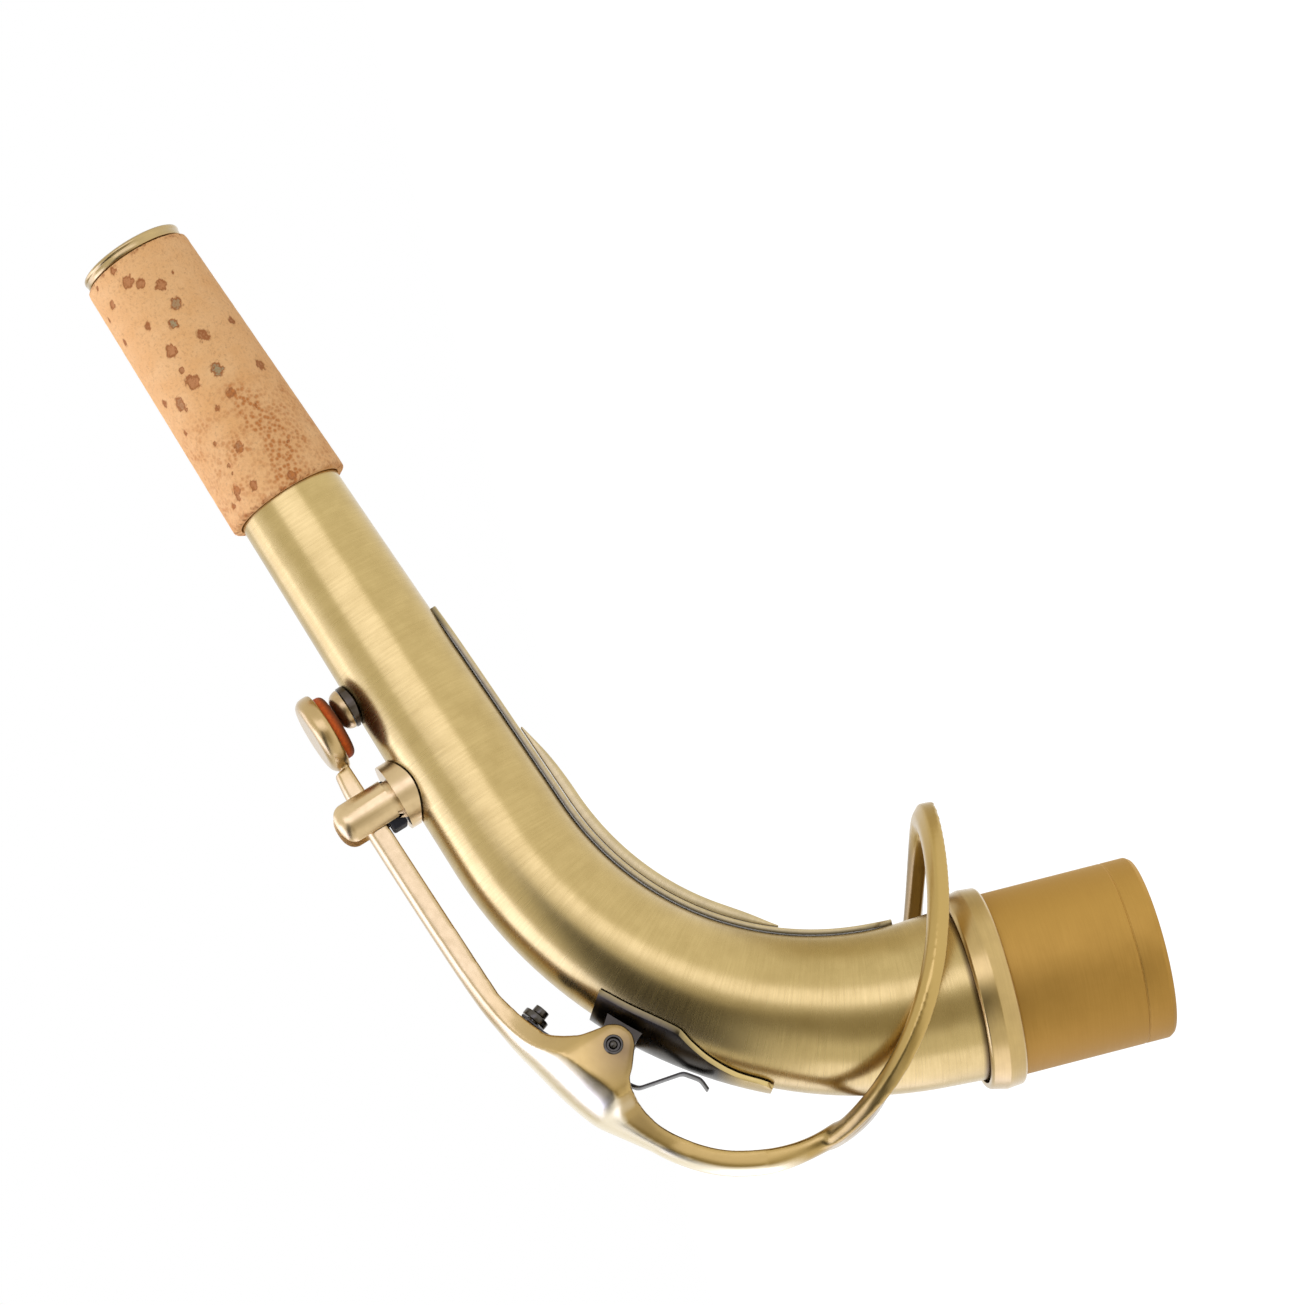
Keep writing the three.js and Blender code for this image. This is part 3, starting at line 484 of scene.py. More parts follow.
def mark_brushing(piece):
    values = []
    for vertex in piece.data.vertices:
        point = vertex.co / mm
        values += [*along_and_out(point), point.y]
    keep_values(piece, "brushing", values, "FLOAT_VECTOR", "vector")


def paint(piece, name, value_of):
    # A painted value at every point, which a finish can read
    keep_values(piece, name, [clamped(value_of(vertex)) for vertex in piece.data.vertices])


def above_tube(vertex):
    length, side = along_and_out(vertex.co)
    return math.hypot(side, vertex.co.y) - radius_at(length)

# %% [markdown]
# ## Finishes
# The neck is brass throughout, brushed and lacquered, with an aged tone. One recipe serves all of it: a base
# colour with cloudy patches, fine streaks across the tube from the brushing, a roughness that follows both, and
# a clear coat on top. Each call of the recipe gets its own tone.

# %% Recipe for brushed, lacquered metal
def attribute(tree, name, output="Fac"):
    return add(tree, "Attribute", attribute_name=name).outputs[output]


def new_finish(name, **values):
    # A material with its tree, its shader and the coordinates of the brushing
    material = bpy.data.materials.new(name)
    material.use_nodes = True
    tree = material.node_tree
    shader = tree.nodes["Principled BSDF"]
    feed(tree, shader, values)
    return material, tree, shader, attribute(tree, "brushing", "Vector")


def pattern(tree, source, scale, detail=3.0, roughness=0.55, frequency=1.0):
    # Noise on the piece's own coordinates, stretched by a Mapping node
    stretched = add(tree, "Mapping", Vector=source, Scale=scale if isinstance(scale, tuple) else (scale,) * 3)
    cloudy = add(tree, "TexNoise", Vector=stretched, Scale=frequency, Detail=detail, Roughness=roughness)
    return cloudy.outputs["Fac"]


def ramp(tree, value, low, high, out_low, out_high):
    return add(tree, "MapRange", value, low, high, out_low, out_high).outputs["Result"]


def mix_colour(tree, factor, *colours):
    mix = add(tree, "Mix", factor, data_type="RGBA")
    for socket, colour in zip((6, 7), colours):
        feed(tree, mix, {socket: (*colour, 1) if isinstance(colour, tuple) else colour})
    return mix.outputs[2]


def relief_from(tree, shader, height, strength, distance):
    feed(tree, shader, {"Normal": add(tree, "Bump", Height=height, Strength=strength, Distance=distance * mm)})


def brushed_metal(name, colour, shade, roughness=0.3, streaks=(3.2, 0.12, 0.12), coat=0.6, bump=0.02):
    material, tree, shader, source = new_finish(
        name, Metallic=1, Coat_Weight=coat, Coat_Roughness=0.22, Coat_IOR=1.5)
    streak = pattern(tree, source, streaks, detail=2.5, roughness=0.6, frequency=1.6)
    patches = pattern(tree, source, 0.25, detail=5, roughness=0.6)
    patchy = mix_colour(tree, ramp(tree, patches, 0.38, 0.72, 0, 0.4), colour, shade)
    scratched = mix_colour(tree, ramp(tree, streak, 0.3, 0.7, 0, 0.26), patchy, shade)
    dullness = ramp(tree, streak, 0.3, 0.75, roughness - 0.02, roughness + 0.03)
    feed(tree, shader, {"Base Color": scratched, "Roughness": dullness})
    relief_from(tree, shader, streak, 0.2, bump)
    return material


tube_brass = brushed_metal(
    "brushed_tube_brass", (0.55, 0.405, 0.16), (0.36, 0.25, 0.08), 0.26, (2.2, 0.1, 0.1), coat=0.15, bump=0.005)
print(tube_brass.name, "has", len(tube_brass.node_tree.nodes), "nodes")

# %% Other tones of the same recipe
collar_brass = brushed_metal("collar_brass", (0.54, 0.375, 0.13), (0.36, 0.235, 0.075))
tenon_brass = brushed_metal(
    "matte_tenon_brass", (0.45, 0.255, 0.056), (0.34, 0.185, 0.036), 0.55, coat=0, bump=0.03)
key_brass = brushed_metal("key_brass", (0.68, 0.50, 0.255), (0.50, 0.35, 0.16), streaks=0.6)
key_casting = brushed_metal("key_casting_brass", (0.61, 0.45, 0.235), (0.46, 0.325, 0.145), streaks=0.6)
pip_bronze = brushed_metal("pip_bronze", (0.56, 0.39, 0.18), (0.34, 0.22, 0.10), 0.32, 0.8)
dark_silver = brushed_metal("dark_silver", (0.10, 0.08, 0.06), (0.05, 0.04, 0.03), 0.36, 1.2, coat=0.1)
tip_brass = brushed_metal("tip_ring_brass", (0.50, 0.355, 0.14), (0.28, 0.19, 0.08), 0.26)
black_steel = brushed_metal("black_steel", (0.10, 0.088, 0.07), (0.03, 0.026, 0.02), 0.3, 1.2, coat=0.15)
spring_steel = brushed_metal("spring_steel", (0.06, 0.055, 0.05), (0.03, 0.027, 0.025), 0.35, 1.2, coat=0.1)
# The saddle plate and the hinge post are painted near black, standing in for the dark reflection that the plate shows
plate_brass = brushed_metal(
    "painted_dark_plate_brass", (0.055, 0.046, 0.034), (0.03, 0.025, 0.02), 0.28, (1.0, 0.1, 0.1), coat=0.1)
brace_brass = brushed_metal("brace_brass", (0.54, 0.42, 0.20), (0.36, 0.28, 0.14), 0.3, (0.9, 0.1, 0.1))
print("tones:", len(bpy.data.materials), "materials so far")

# %% Second tones: tones by region, painted highlights and painted shade
def tone_over(material, factor, colour):
    # Lays a second tone over the base colour
    tree = material.node_tree
    base = tree.nodes["Principled BSDF"].inputs["Base Color"]
    tree.links.new(mix_colour(tree, factor, base.links[0].from_socket, colour), base)


def tone_between(material, start, end, colour, axis="X"):
    # The second tone is full at the start and gone at the end, along the tube (X) or out from its axis (Y)
    tree = material.node_tree
    place = add(tree, "SeparateXYZ", attribute(tree, "brushing", "Vector"))
    tone_over(material, ramp(tree, place.outputs[axis], start, end, 0.9, 0), colour)


def tone_on(material, name, colour, share):
    # The second tone shows where a painted attribute is high
    tree = material.node_tree
    tone_over(material, ramp(tree, attribute(tree, name), 0, 1, 0, share), colour)


# The key's casting is pinkish along the arm and aged to a browner gold from the hinge down
tone_between(key_casting, 49, 64, (0.47, 0.31, 0.086))
tone_between(key_casting, 12, 30, (0.48, 0.32, 0.086))
tone_between(key_casting, tube_length - 75.5, tube_length - 78.5, (0.50, 0.34, 0.13))
# Painted shade: the corners round the pivot, the joints of the arm and the loop's far branch are darkened
tone_on(key_casting, "painted_shade", (0.11, 0.062, 0.02), 0.85)
# Painted highlight on the outward faces of the lever and of the arm
tone_on(key_casting, "painted_highlight", (0.95, 0.85, 0.62), 0.9)
# Painted contact shadow on the brace where it lies close to the tube
tone_on(brace_brass, "painted_contact_shadow", (0.03, 0.024, 0.016), 0.8)
tone_between(tube_brass, 5.0, 5.55, (0.10, 0.06, 0.02))
# Painted highlight and painted shade: the tenon is lighter on its +X side and darker on its -X side
tone_between(tenon_brass, -10, 3, (0.56, 0.335, 0.08), axis="Y")
tone_between(tenon_brass, 11, 3, (0.38, 0.21, 0.043), axis="Y")
# Towards its tail the plate is brass again, where the painted dark reflection ends
tone_between(plate_brass, angle_length(26), angle_length(29.5), (0.50, 0.36, 0.13))
# Painted highlight along the plate's edges
tone_on(plate_brass, "painted_edge_highlight", (0.66, 0.50, 0.2), 0.9)
print("key casting:", len(key_casting.node_tree.nodes), "nodes")

# %% [markdown]
# Cork, felt and leather are dull, so their recipes are about colour and relief: a peach ground with orange and
# brown flecks, a fuzzy black, and a grained orange.

# %% Cork
cork_skin, tree, shader, source = new_finish("cork_skin", Roughness=0.85, Specular_IOR_Level=0.2)
grain = pattern(tree, source, (0.3, 0.22, 0.22), detail=8, roughness=0.65)
flecks = pattern(tree, source, 2.2, detail=6, roughness=0.75)
crumbs = pattern(tree, source, 3.6, detail=3, roughness=0.6)
colour = mix_colour(tree, ramp(tree, grain, 0.35, 0.68, 0, 1), (0.99, 0.575, 0.235), (0.94, 0.50, 0.18))
colour = mix_colour(tree, ramp(tree, flecks, 0.58, 0.76, 0, 0.55), colour, (0.60, 0.25, 0.085))
print("cork ground:", len(tree.nodes), "nodes")

# %% Pits and bubbles in the cork's skin
def added(tree, first, second, share):
    return add(tree, "Math", second, share, first, operation="MULTIPLY_ADD").outputs[0]


pit = attribute(tree, "pit")
pit_rim = ramp(tree, added(tree, pit, flecks, 0.5), 0.25, 0.55, 0, 0.95)
colour = mix_colour(tree, pit_rim, colour, (0.42, 0.14, 0.038))
pit_colour = mix_colour(tree, attribute(tree, "pit_tone"), (0.64, 0.28, 0.10), (0.46, 0.38, 0.19))
pit_crumbs = ramp(tree, added(tree, pit, crumbs, 1.6), 1.25, 1.6, 0, 0.9)
colour = mix_colour(tree, pit_crumbs, colour, pit_colour)
cells = add(tree, "TexVoronoi", feature="F1", Vector=source, Scale=1.7)
walls = ramp(tree, cells.outputs["Distance"], 0.25, 0.62, 1, 0.15)
bubbly = add(tree, "Math", walls, attribute(tree, "bubbles"), operation="MULTIPLY").outputs[0]
feed(tree, shader, {"Base Color": mix_colour(tree, bubbly, colour, (0.66, 0.24, 0.06))})
relief_from(tree, shader, added(tree, flecks, bubbly, -0.8), 0.9, 0.22)
print(cork_skin.name, "has", len(tree.nodes), "nodes")

# %% Felt and leather
felt_black, tree, shader, source = new_finish("felt_black", Roughness=0.98, Specular_IOR_Level=0.2, Sheen_Weight=0.3)
fibres = pattern(tree, source, 5, detail=6, roughness=0.8)
feed(tree, shader, {"Base Color": mix_colour(tree, fibres, (0.006, 0.006, 0.007), (0.03, 0.03, 0.032))})
relief_from(tree, shader, fibres, 0.8, 0.12)

pad_leather, tree, shader, source = new_finish("pad_leather", Roughness=0.62, Specular_IOR_Level=0.2)
grain = pattern(tree, source, 2.6, detail=6, roughness=0.65)
orange = mix_colour(tree, ramp(tree, grain, 0.35, 0.7, 0, 1), (0.72, 0.13, 0.01), (0.50, 0.075, 0.006))
feed(tree, shader, {"Base Color": orange})
relief_from(tree, shader, grain, 0.45, 0.08)
print("dull finishes:", felt_black.name, pad_leather.name)

# %% [markdown]
# ## The tube
# The real tube is sheet brass, rolled into a cone, soldered and bent round a mandrel. Here a disc of 96 sides is
# drawn out ring by ring along the axis, each ring moved, turned and resized to the next place. A second, thinner
# one is carved out of it, and what stays is the sheet.

# %% Tube
def lengths_between(start, end, step):
    count = max(2, round((end - start) / step))
    return [start + (end - start) * k / count for k in range(count + 1)]


def round_along(name, start, end, margin):
    # The tube's own shape with a margin, drawn along its middle line
    lengths = lengths_between(start, end, 1.6)
    piece = new_piece(name, bpy.ops.mesh.primitive_circle_add, vertices=96, radius=1, fill_type="NGON")
    bpy.ops.object.mode_set(mode="EDIT")
    sizes = [(radius_at(length) + margin,) * 2 for length in lengths]
    return sweep(piece, [on_tube(length) for length in lengths], sizes)


wall, tube_start, tube_end = 0.7, 1.5, tube_length - 0.8
tube = round_along("tube", tube_start, tube_end, 0)
carve(tube, round_along("bore", tube_start - 2, tube_end + 2, -wall))
hand_over(tube, tube_brass, "neck", "tube_brass", "neck_tube")

# %% [markdown]
# ## Collar and tenon
# Below the bend a collar with a ridge stops the neck in the body's socket, and the tenon is the sleeve that goes
# in. Both are turned on a lathe, so their profiles are spun. The tenon is left matte, with one scribed line.

# %% Collar
collar = turned("collar", [
    (12.45, 0), (13.0, 0), (13.3, 0.3), (13.5, 2.4), (13.0, 4.5), (12.7, 4.8), (12.1, 4.8), (12.1, 1.5), (12.45, 1.5)])
round_edges(collar, 0.12, 3, 15)
hand_over(collar, collar_brass, "neck", "collar_brass", "tenon_collar", smooth=20)

# %% Tenon
tenon_length, tenon_radius, tenon_inner = 20.8, 12.25, 11.25
scribe = 3.8 - tenon_length
tenon = turned("tenon", [
    (tenon_inner, 1.3), (tenon_inner, -tenon_length), (11.85, -tenon_length), (tenon_radius, -20.2),
    (tenon_radius, scribe - 0.15), (12.1, scribe), (tenon_radius, scribe + 0.15), (tenon_radius, 1.3)], sides=128)
round_edges(tenon, 0.15, 3, 25)
hand_over(tenon, tenon_brass, "neck", "tenon_brass", "tenon_sleeve", smooth=25)

# %% [markdown]
# ## Mouthpiece end
# A thin ring with a rolled lip closes the tube's end and keeps the cork from sliding off.

# %% End ring
def along_leg(from_tip):
    # A place on the leg: x along it, z outward
    return leg_place @ Matrix.Translation((-from_tip, 0, 0))


towards_foot = leg_place @ Matrix.Rotation(radians(-90), 4, "Y")
end_ring = turned("end_ring", [
    (6.2, 0), (7.05, 0), (7.3, 0.15), (7.34, 0.35), (7.3, 0.55), (7.2, 0.68), (7.22, 0.8), (7.22, 1.4), (7.15, 1.5),
    (7.0, 1.5), (7.0, 0.6), (6.2, 0.6)], towards_foot)
round_edges(end_ring, 0.05, 2, 35)
hand_over(end_ring, tip_brass, "neck", "tip_brass", "mouthpiece_end_ring")

# %% [markdown]
# ## Octave pip
# The pip is a small domed tube that lets air out for the upper octave. It stands on a ring soldered to the leg.

# %% Pip and its ring
def from_tip_radius(distance):
    return radius_at(tube_length - distance)


pip_distance, pad_distance, guide_distance = 68.4, 69.7, 82.05
pip_ring_top = from_tip_radius(pip_distance) + gap + 0.5
dome_size = 1.6
pip_seat = pip_ring_top + gap
pip_top = pip_seat + dome_size
pip_ring = sleeve("pip_ring", 1.6, 2.9, 5, pip_ring_top, along_leg(pip_distance))
carve(pip_ring, round_along("tube_clear", 60, tube_length, gap))
round_edges(pip_ring, 0.12, 3)
hand_over(pip_ring, dark_silver, "neck", "silvered", "pip_base_ring")

pip_dome = arc(1.2, pip_seat, dome_size, range(0, 91, 6))
pip = turned("pip", [(0.5, 5.8), (1.4, 5.8), (1.4, pip_seat)] + pip_dome + [(0.5, pip_top)],
             along_leg(pip_distance))
hand_over(pip, pip_bronze, "neck", "bronze", "vent_pip")

# %% [markdown]
# ## Guide
# A fork on a round foot keeps the key's arm from swaying. Foot and fork are turned from one bar, and a saw cut
# makes the slot, so the shape is a lathe profile with a slot carved out of it.

# %% Guide
foot_top = from_tip_radius(guide_distance) + gap + 1.45
post_top = foot_top + 8.75
guide = turned("guide", [
    (0, 0), (4.7, 0), (4.7, foot_top), (3.0, foot_top), (3.0, foot_top + 0.8), (3.33, foot_top + 0.8)]
    + arc(1.43, post_top - 1.9, 1.9, range(0, 91, 9)) + [(0, post_top)], along_leg(guide_distance))
slot_cut = slab("slot_cut", [(-7, foot_top), (7, foot_top), (7, 24), (-7, 24)], 1.9, along_leg(guide_distance))
carve(guide, slot_cut)
carve(guide, round_along("tube_clear", 50, tube_length, gap))
round_edges(guide, 0.22, 3, 40)
hand_over(guide, key_brass, "neck", "key_brass", "key_guide")

# %% Felt in the guide's slot
# Pip, pad, cup and arm stand on one another, and the felt ends just under the arm
pad_low = pip_top + gap
pad_back = pad_low + 2.3
cup_rim = pad_back + gap - 1.0
arm_face = cup_rim + 0.5
felt_low = foot_top + gap
felt_high = arm_face - 0.4
felt_middle = (-0.65, 0, (felt_low + felt_high) / 2)
felt_size = (6.6, 3.3, felt_high - felt_low)
felt = new_piece("felt", bpy.ops.mesh.primitive_cube_add, size=1, location=felt_middle, scale=felt_size)
settle(felt, along_leg(guide_distance))
round_edges(felt, 0.35, 3)
for _ in range(2):
    apply(felt, "SUBSURF", "finer", subdivision_type="SIMPLE", levels=1, render_levels=1)
hand_over(felt, felt_black, "neck", "felt", "guide_felt")

# %% [markdown]
# ## Pad
# The pad is felt under thin leather. It bulges a little where the leather is drawn round the edge, so its
# profile is crowned.

# %% Pad
pad_profile = [(0, pad_low), (2.2, pad_low + 0.02), (3.4, pad_low + 0.06)]
pad_profile += [(3.75 + 0.82 * math.sin(radians(a)), pad_low + 0.98 - 0.88 * math.cos(radians(a)))
                for a in range(0, 91, 15)]
pad_profile += [(4.57, pad_back - 0.5), (4.3, pad_back - 0.1), (3.9, pad_back), (0, pad_back)]
pad = turned("octave_pad_leather", pad_profile, along_leg(pad_distance))
# The face towards the pip is darkened: partly the mark of pressing on the pip, partly painted shade on the pad's
# underside
tone_between(pad_leather, pad_low + 0.4, pad_low + 1.1, (0.11, 0.04, 0.014), axis="Y")
hand_over(pad, pad_leather, "octave_key", "pad", "octave_pad", smooth=70)

# %% [markdown]
# ## Cork
# The sleeve under the mouthpiece is a strip of natural cork, glued round the tube and sanded to a slight cone.
# Bark pores run through it as pits. The sleeve is turned with very fine rows, and each point then sinks by the
# depth of the pits that it lies in. The depth is kept as an attribute, so that the colour follows the same pits.

# %% Cork sleeve
cork_start, cork_length, cork_edge = 1.65, 38.75, 0.45
thin_end, thick_end = 0.65, 1.05
cork_end = cork_start + cork_length
cork_tip = from_tip_radius(cork_start) + gap + thin_end
cork_back = from_tip_radius(cork_end) + gap + thick_end


def cork_radius(length):
    return cork_tip + (cork_back - cork_tip) * ((length - cork_start) / cork_length)


inner = [(from_tip_radius(length) + gap, length) for length in lengths_between(cork_start, cork_end, 4)]
outer_rows = []
for length in reversed(lengths_between(cork_start, cork_end, 0.24)):
    edge = max(0, cork_edge - min(length - cork_start, cork_end - length))
    rounding = cork_edge - math.sqrt(max(0, cork_edge ** 2 - edge ** 2))
    outer_rows.append((cork_radius(length) - rounding, length))
cork = turned("cork", inner + outer_rows, towards_foot, sides=230)
tell(cork)

# %% Pits in the cork
# Length from the tip, angle round the sleeve, half size, and kind: brown, dark, faint, olive, grey or pink
pits = [
    (2.5, -59, 0.57, "brown"), (4.9, -66, 0.97, "brown"), (6.2, -76, 0.73, "brown"), (7.8, -92, 0.87, "brown"),
    (2.7, -30, 0.3, "brown"), (5.9, -36, 0.6, "brown"), (6.9, -17, 0.43, "faint"), (11.1, -95, 0.97, "olive"),
    (13.3, -82, 0.83, "grey"), (16.7, -100, 1.07, "faint"), (16.2, -66, 0.97, "brown"), (19.2, -64, 0.43, "dark"),
    (21.4, -67, 1.1, "brown"), (22.7, -43, 1.03, "pink"), (23.8, -46, 0.27, "dark"), (21.8, -93, 1.03, "grey"),
    (23.6, -137, 0.97, "faint"), (16.4, -139, 0.77, "faint"), (10.8, -21, 0.6, "faint"), (11.5, -59, 0.6, "faint"),
    (20.9, -24, 0.67, "faint"), (25.5, -91, 0.83, "faint"), (30.0, -53, 0.33, "brown"), (32.3, -71, 0.77, "pink"),
    (33.4, -53, 0.3, "dark"), (34.6, -52, 0.2, "dark"), (36.8, -45, 0.7, "brown"), (37.6, -43, 0.43, "dark"),
    (37.7, -63, 0.7, "brown"), (38.0, -32, 0.5, "faint"), (35.1, -112, 0.23, "brown"), (26.3, -74, 0.5, "faint"),
    (26.0, -28, 0.43, "faint"), (7.1, -109, 0.23, "brown"), (28.7, -105, 0.27, "dark"), (39.4, -97, 0.7, "brown")]
dice = random.Random(11)
for _ in range(26):
    pits.append((dice.uniform(cork_start + 1, cork_end - 1), dice.uniform(5, 175), dice.uniform(0.25, 1.1),
                 dice.choice(["brown", "faint", "olive", "pink", "dark"])))
# How strongly each kind is coloured, and how far its colour goes from brown to olive grey
kinds = {"brown": (0.85, 0), "dark": (1.15, 0.1), "faint": (0.5, 0.1), "olive": (0.8, 0.6), "grey": (0.75, 1),
         "pink": (0.7, 0.3)}


def pit_at(length, angle, radius):
    mask, tone = 0, 0
    for at, around, half, kind in pits:
        dx = (length - at) / half
        dy = math.remainder(angle - radians(around), 2 * math.pi) * radius / half
        if abs(dx) > 1.5 or abs(dy) > 1.5:
            continue
        ragged = 0.5 * noise.noise(Vector((length * 2.6, angle * radius * 2.6, at)))
        inside = (1 - math.hypot(dx, dy * 1.1) + ragged) * 2.2
        if inside > mask:
            mask, tone = min(1, inside) * kinds[kind][0], kinds[kind][1]
    return mask, tone


def bubbles_at(length, angle):
    # Small bubbles along the sleeve's last third, thickest in one strip
    across = math.remainder(angle - radians(-99 + 5 * math.sin(length / 3)), 2 * math.pi)
    strip = max(0, 1 - abs(across) / radians(17)) * 1.6 + 0.4 + 0.8 * noise.noise(Vector((length * 0.5, angle * 3, 9)))
    return strip * clamped((length - 23) / 5)


to_tip = towards_foot.inverted()
marks = []
for vertex in cork.data.vertices:
    local = to_tip @ vertex.co
    radius = math.hypot(local.x, local.y)
    angle = math.atan2(local.y, local.x)
    mask, tone, bubble = 0, 0, 0
    if radius > cork_radius(local.z) - 0.5:
        mask, tone = pit_at(local.z, angle, radius)
        bubble = bubbles_at(local.z, angle)
        crumble = noise.fractal(local * 1.7, 0.8, 2.2, 4)
        near_end = max(0, 1 - min(local.z - cork_start, cork_end - local.z) / 0.9)
        depth = 0.16 * mask + 0.02 * crumble + 0.16 * near_end * max(0, crumble)
        out = Vector((local.x, local.y, 0)).normalized()
        vertex.co = towards_foot @ (local - out * min(max(depth, -0.03), 0.45))
        mask = max(mask, 0.7 * near_end * max(0, crumble))
    marks.append((mask, tone, min(1, bubble)))
for name, values in zip(("pit", "pit_tone", "bubbles"), zip(*marks)):
    keep_values(cork, name, values)
hand_over(cork, cork_skin, "neck", "cork", "neck_cork", smooth=80)

# %% [markdown]
# ## The octave key
# Lever, pad cup and ring are one casting on the real key: the parts are brazed together and filed smooth. The
# lever is an arch of changing width and height. It starts as a row of arc points, which is extruded row by
# row, moved and resized. Its outline from the side is then cut with a slab.

# %% Places on the lever
plate_thick, barrel_radius, hinge_degrees = 0.9, 1.75, 42.4
plate_outer = gap + plate_thick + gap
hinge_length = angle_length(hinge_degrees)
hinge_point, hinge_along, hinge_outward = axis_at(hinge_length)
hinge_distance = radius_at(hinge_length) + plate_outer + barrel_radius
hinge_point = hinge_point + hinge_outward * hinge_distance
hinge_on_leg = to_leg @ hinge_point
arm_length = -pad_distance - 5.5 - gap - hinge_on_leg.x
arm_height = arm_face - hinge_on_leg.z
lever_half, lever_height, cheek = 6.7, 4.4, 1.7
print("pivot on the leg", [round(c, 2) for c in hinge_on_leg], "arm", round(arm_length, 2), round(arm_height, 2))


def on_lever(along, up):
    return hinge_on_leg.x + along * arm_length, hinge_on_leg.z + up * arm_height


# Along the arm, height of its inner face, half width and height of the arch
crown = [
    (-0.34, 0.0, 0.24, 0.16), (-0.32, 0.1, 0.28, 0.18), (-0.294, 0.222, 0.33, 0.22), (-0.262, 0.352, 0.37, 0.26),
    (-0.23, 0.475, 0.42, 0.31), (-0.198, 0.6, 0.49, 0.4), (-0.164, 0.732, 0.61, 0.54), (-0.142, 0.808, 0.81, 0.77),
    (-0.119, 0.86, 0.96, 0.95), (-0.083, 0.93, 1, 1), (-0.02, 1.029, 1, 0.91), (0.051, 1.116, 0.94, 0.77),
    (0.089, 1.163, 0.79, 0.57), (0.125, 1.209, 0.63, 0.39), (0.198, 1.267, 0.43, 0.25), (0.277, 1.32, 0.36, 0.23),
    (0.435, 1.349, 0.28, 0.2), (0.79, 1.349, 0.24, 0.18), (0.93, 1.32, 0.23, 0.15), (1.0, 1.267, 0.22, 0.14)]

# %% Arched block of the lever
arc_half = radians(60)
rows = lengths_between(-0.34, 1.0, 0.018)
lever = new_piece("octave_key", bpy.ops.mesh.primitive_circle_add, vertices=72, radius=1)
bpy.ops.object.mode_set(mode="EDIT")
turn_selected(Matrix.Rotation(radians(90), 3, "Y"), (0, 0, 0))
bpy.ops.mesh.select_all(action="DESELECT")
bench = bmesh.from_edit_mesh(lever.data)
for vertex in bench.verts:
    vertex.select = vertex.co.z < math.cos(arc_half) - 0.001
bench.select_flush_mode()
bmesh.update_edit_mesh(lever.data)
bpy.ops.mesh.delete(type="VERT")
bpy.ops.mesh.select_all(action="SELECT")
bpy.ops.transform.translate(value=(0, 0, -1))


def crown_row(along):
    x, z = on_lever(along, from_table(crown, along, 1))
    half = from_table(crown, along, 2) * lever_half / math.sin(arc_half)
    rise = from_table(crown, along, 3) * lever_height / (1 - math.cos(arc_half))
    return Vector((x, 0, z)), half, rise


place, half, rise = crown_row(rows[0])
bpy.ops.transform.translate(value=place)
bpy.ops.transform.resize(value=(1, half, rise), center_override=place)
for along in rows[1:]:
    next_place, next_half, next_rise = crown_row(along)
    extrude(*(next_place - place))
    bpy.ops.transform.resize(value=(1, next_half / half, next_rise / rise), center_override=next_place)
    place, half, rise = next_place, next_half, next_rise
floor_z = hinge_on_leg.z - 5
bpy.ops.mesh.select_all(action="SELECT")
bpy.ops.mesh.region_to_loop()
extrude(0, 0, 0)
bpy.ops.transform.resize(value=(1, 1, 0), center_override=(0, 0, floor_z))
bpy.ops.mesh.edge_face_add()
close_up(lever)
tell(lever)

# %% Outline of the lever from the side
def quadratic(start, middle, end):
    # A bow from start to end, without its first point
    return [tuple((1 - t) ** 2 * a + 2 * t * (1 - t) * b + t * t * c for a, b, c in zip(start, middle, end))
            for t in (k / 10 for k in range(1, 11))]


def lever_points(*shares):
    return [on_lever(*share) for share in shares]


def cut_from_below(name, half_width, *shares):
    # A slab that starts under the lever and ends at these places
    top = lever_points(*shares)
    low = floor_z - 2
    carve(lever, slab(name, [(top[0][0], low)] + top + [(top[-1][0], low)], half_width))


face = lever_points((1, 1), (0.275, 0.983), (0.2, 0.884), (0.125, 0.744))
lug_radius = 2.85
front = quadratic(face[-1], on_lever(0.095, 0.6), on_lever(0.069, 0.314))
lug = arc(hinge_on_leg.x, hinge_on_leg.z, lug_radius, range(0, -140, -6))
back = lever_points(
    (-0.076, -0.06), (-0.094, 0.06), (-0.118, 0.115), (-0.15, 0.118), (-0.186, 0.09), (-0.222, 0.035),
    (-0.262, -0.06), (-0.294, -0.14), (-0.322, -0.14))
high = hinge_on_leg.z + 2 * arm_height
side = face + front + lug + back + [(back[-1][0], high), (face[0][0], high)]
carve(lever, slab("lever_side", side, 10), "INTERSECT")
cut_from_below("trough", lever_half - cheek, (0.073, 0.8), (-0.02, 0.69), (-0.083, 0.59), (-0.13, 0.5))
cut_from_below("spring_slot", 1.9, (0.136, 0.78), (0.069, 0.78))
settle(lever, leg_place)
tell(lever)

# %% [markdown]
# The ring's middle line is two Bezier curves in the neck's middle plane. The first is the arm behind the lever.
# Along the second the bar opens into an oval that stands round the tube.

# %% Middle line of arm and ring
key_drop = hinge_point.z - 3.8


def from_hinge(back_share, down_share):
    return Vector((hinge_point.x - back_share * key_drop, 0, hinge_point.z - down_share * key_drop))


def leg_direction(angle):
    return leg_place.to_3x3() @ Vector((-math.cos(angle), 0, -math.sin(angle)))


def bezier(a, b, c, d):
    return [(1 - t) ** 3 * a + 3 * t * (1 - t) ** 2 * b + 3 * t * t * (1 - t) * c + t ** 3 * d
            for t in (k / 200 for k in range(201))]


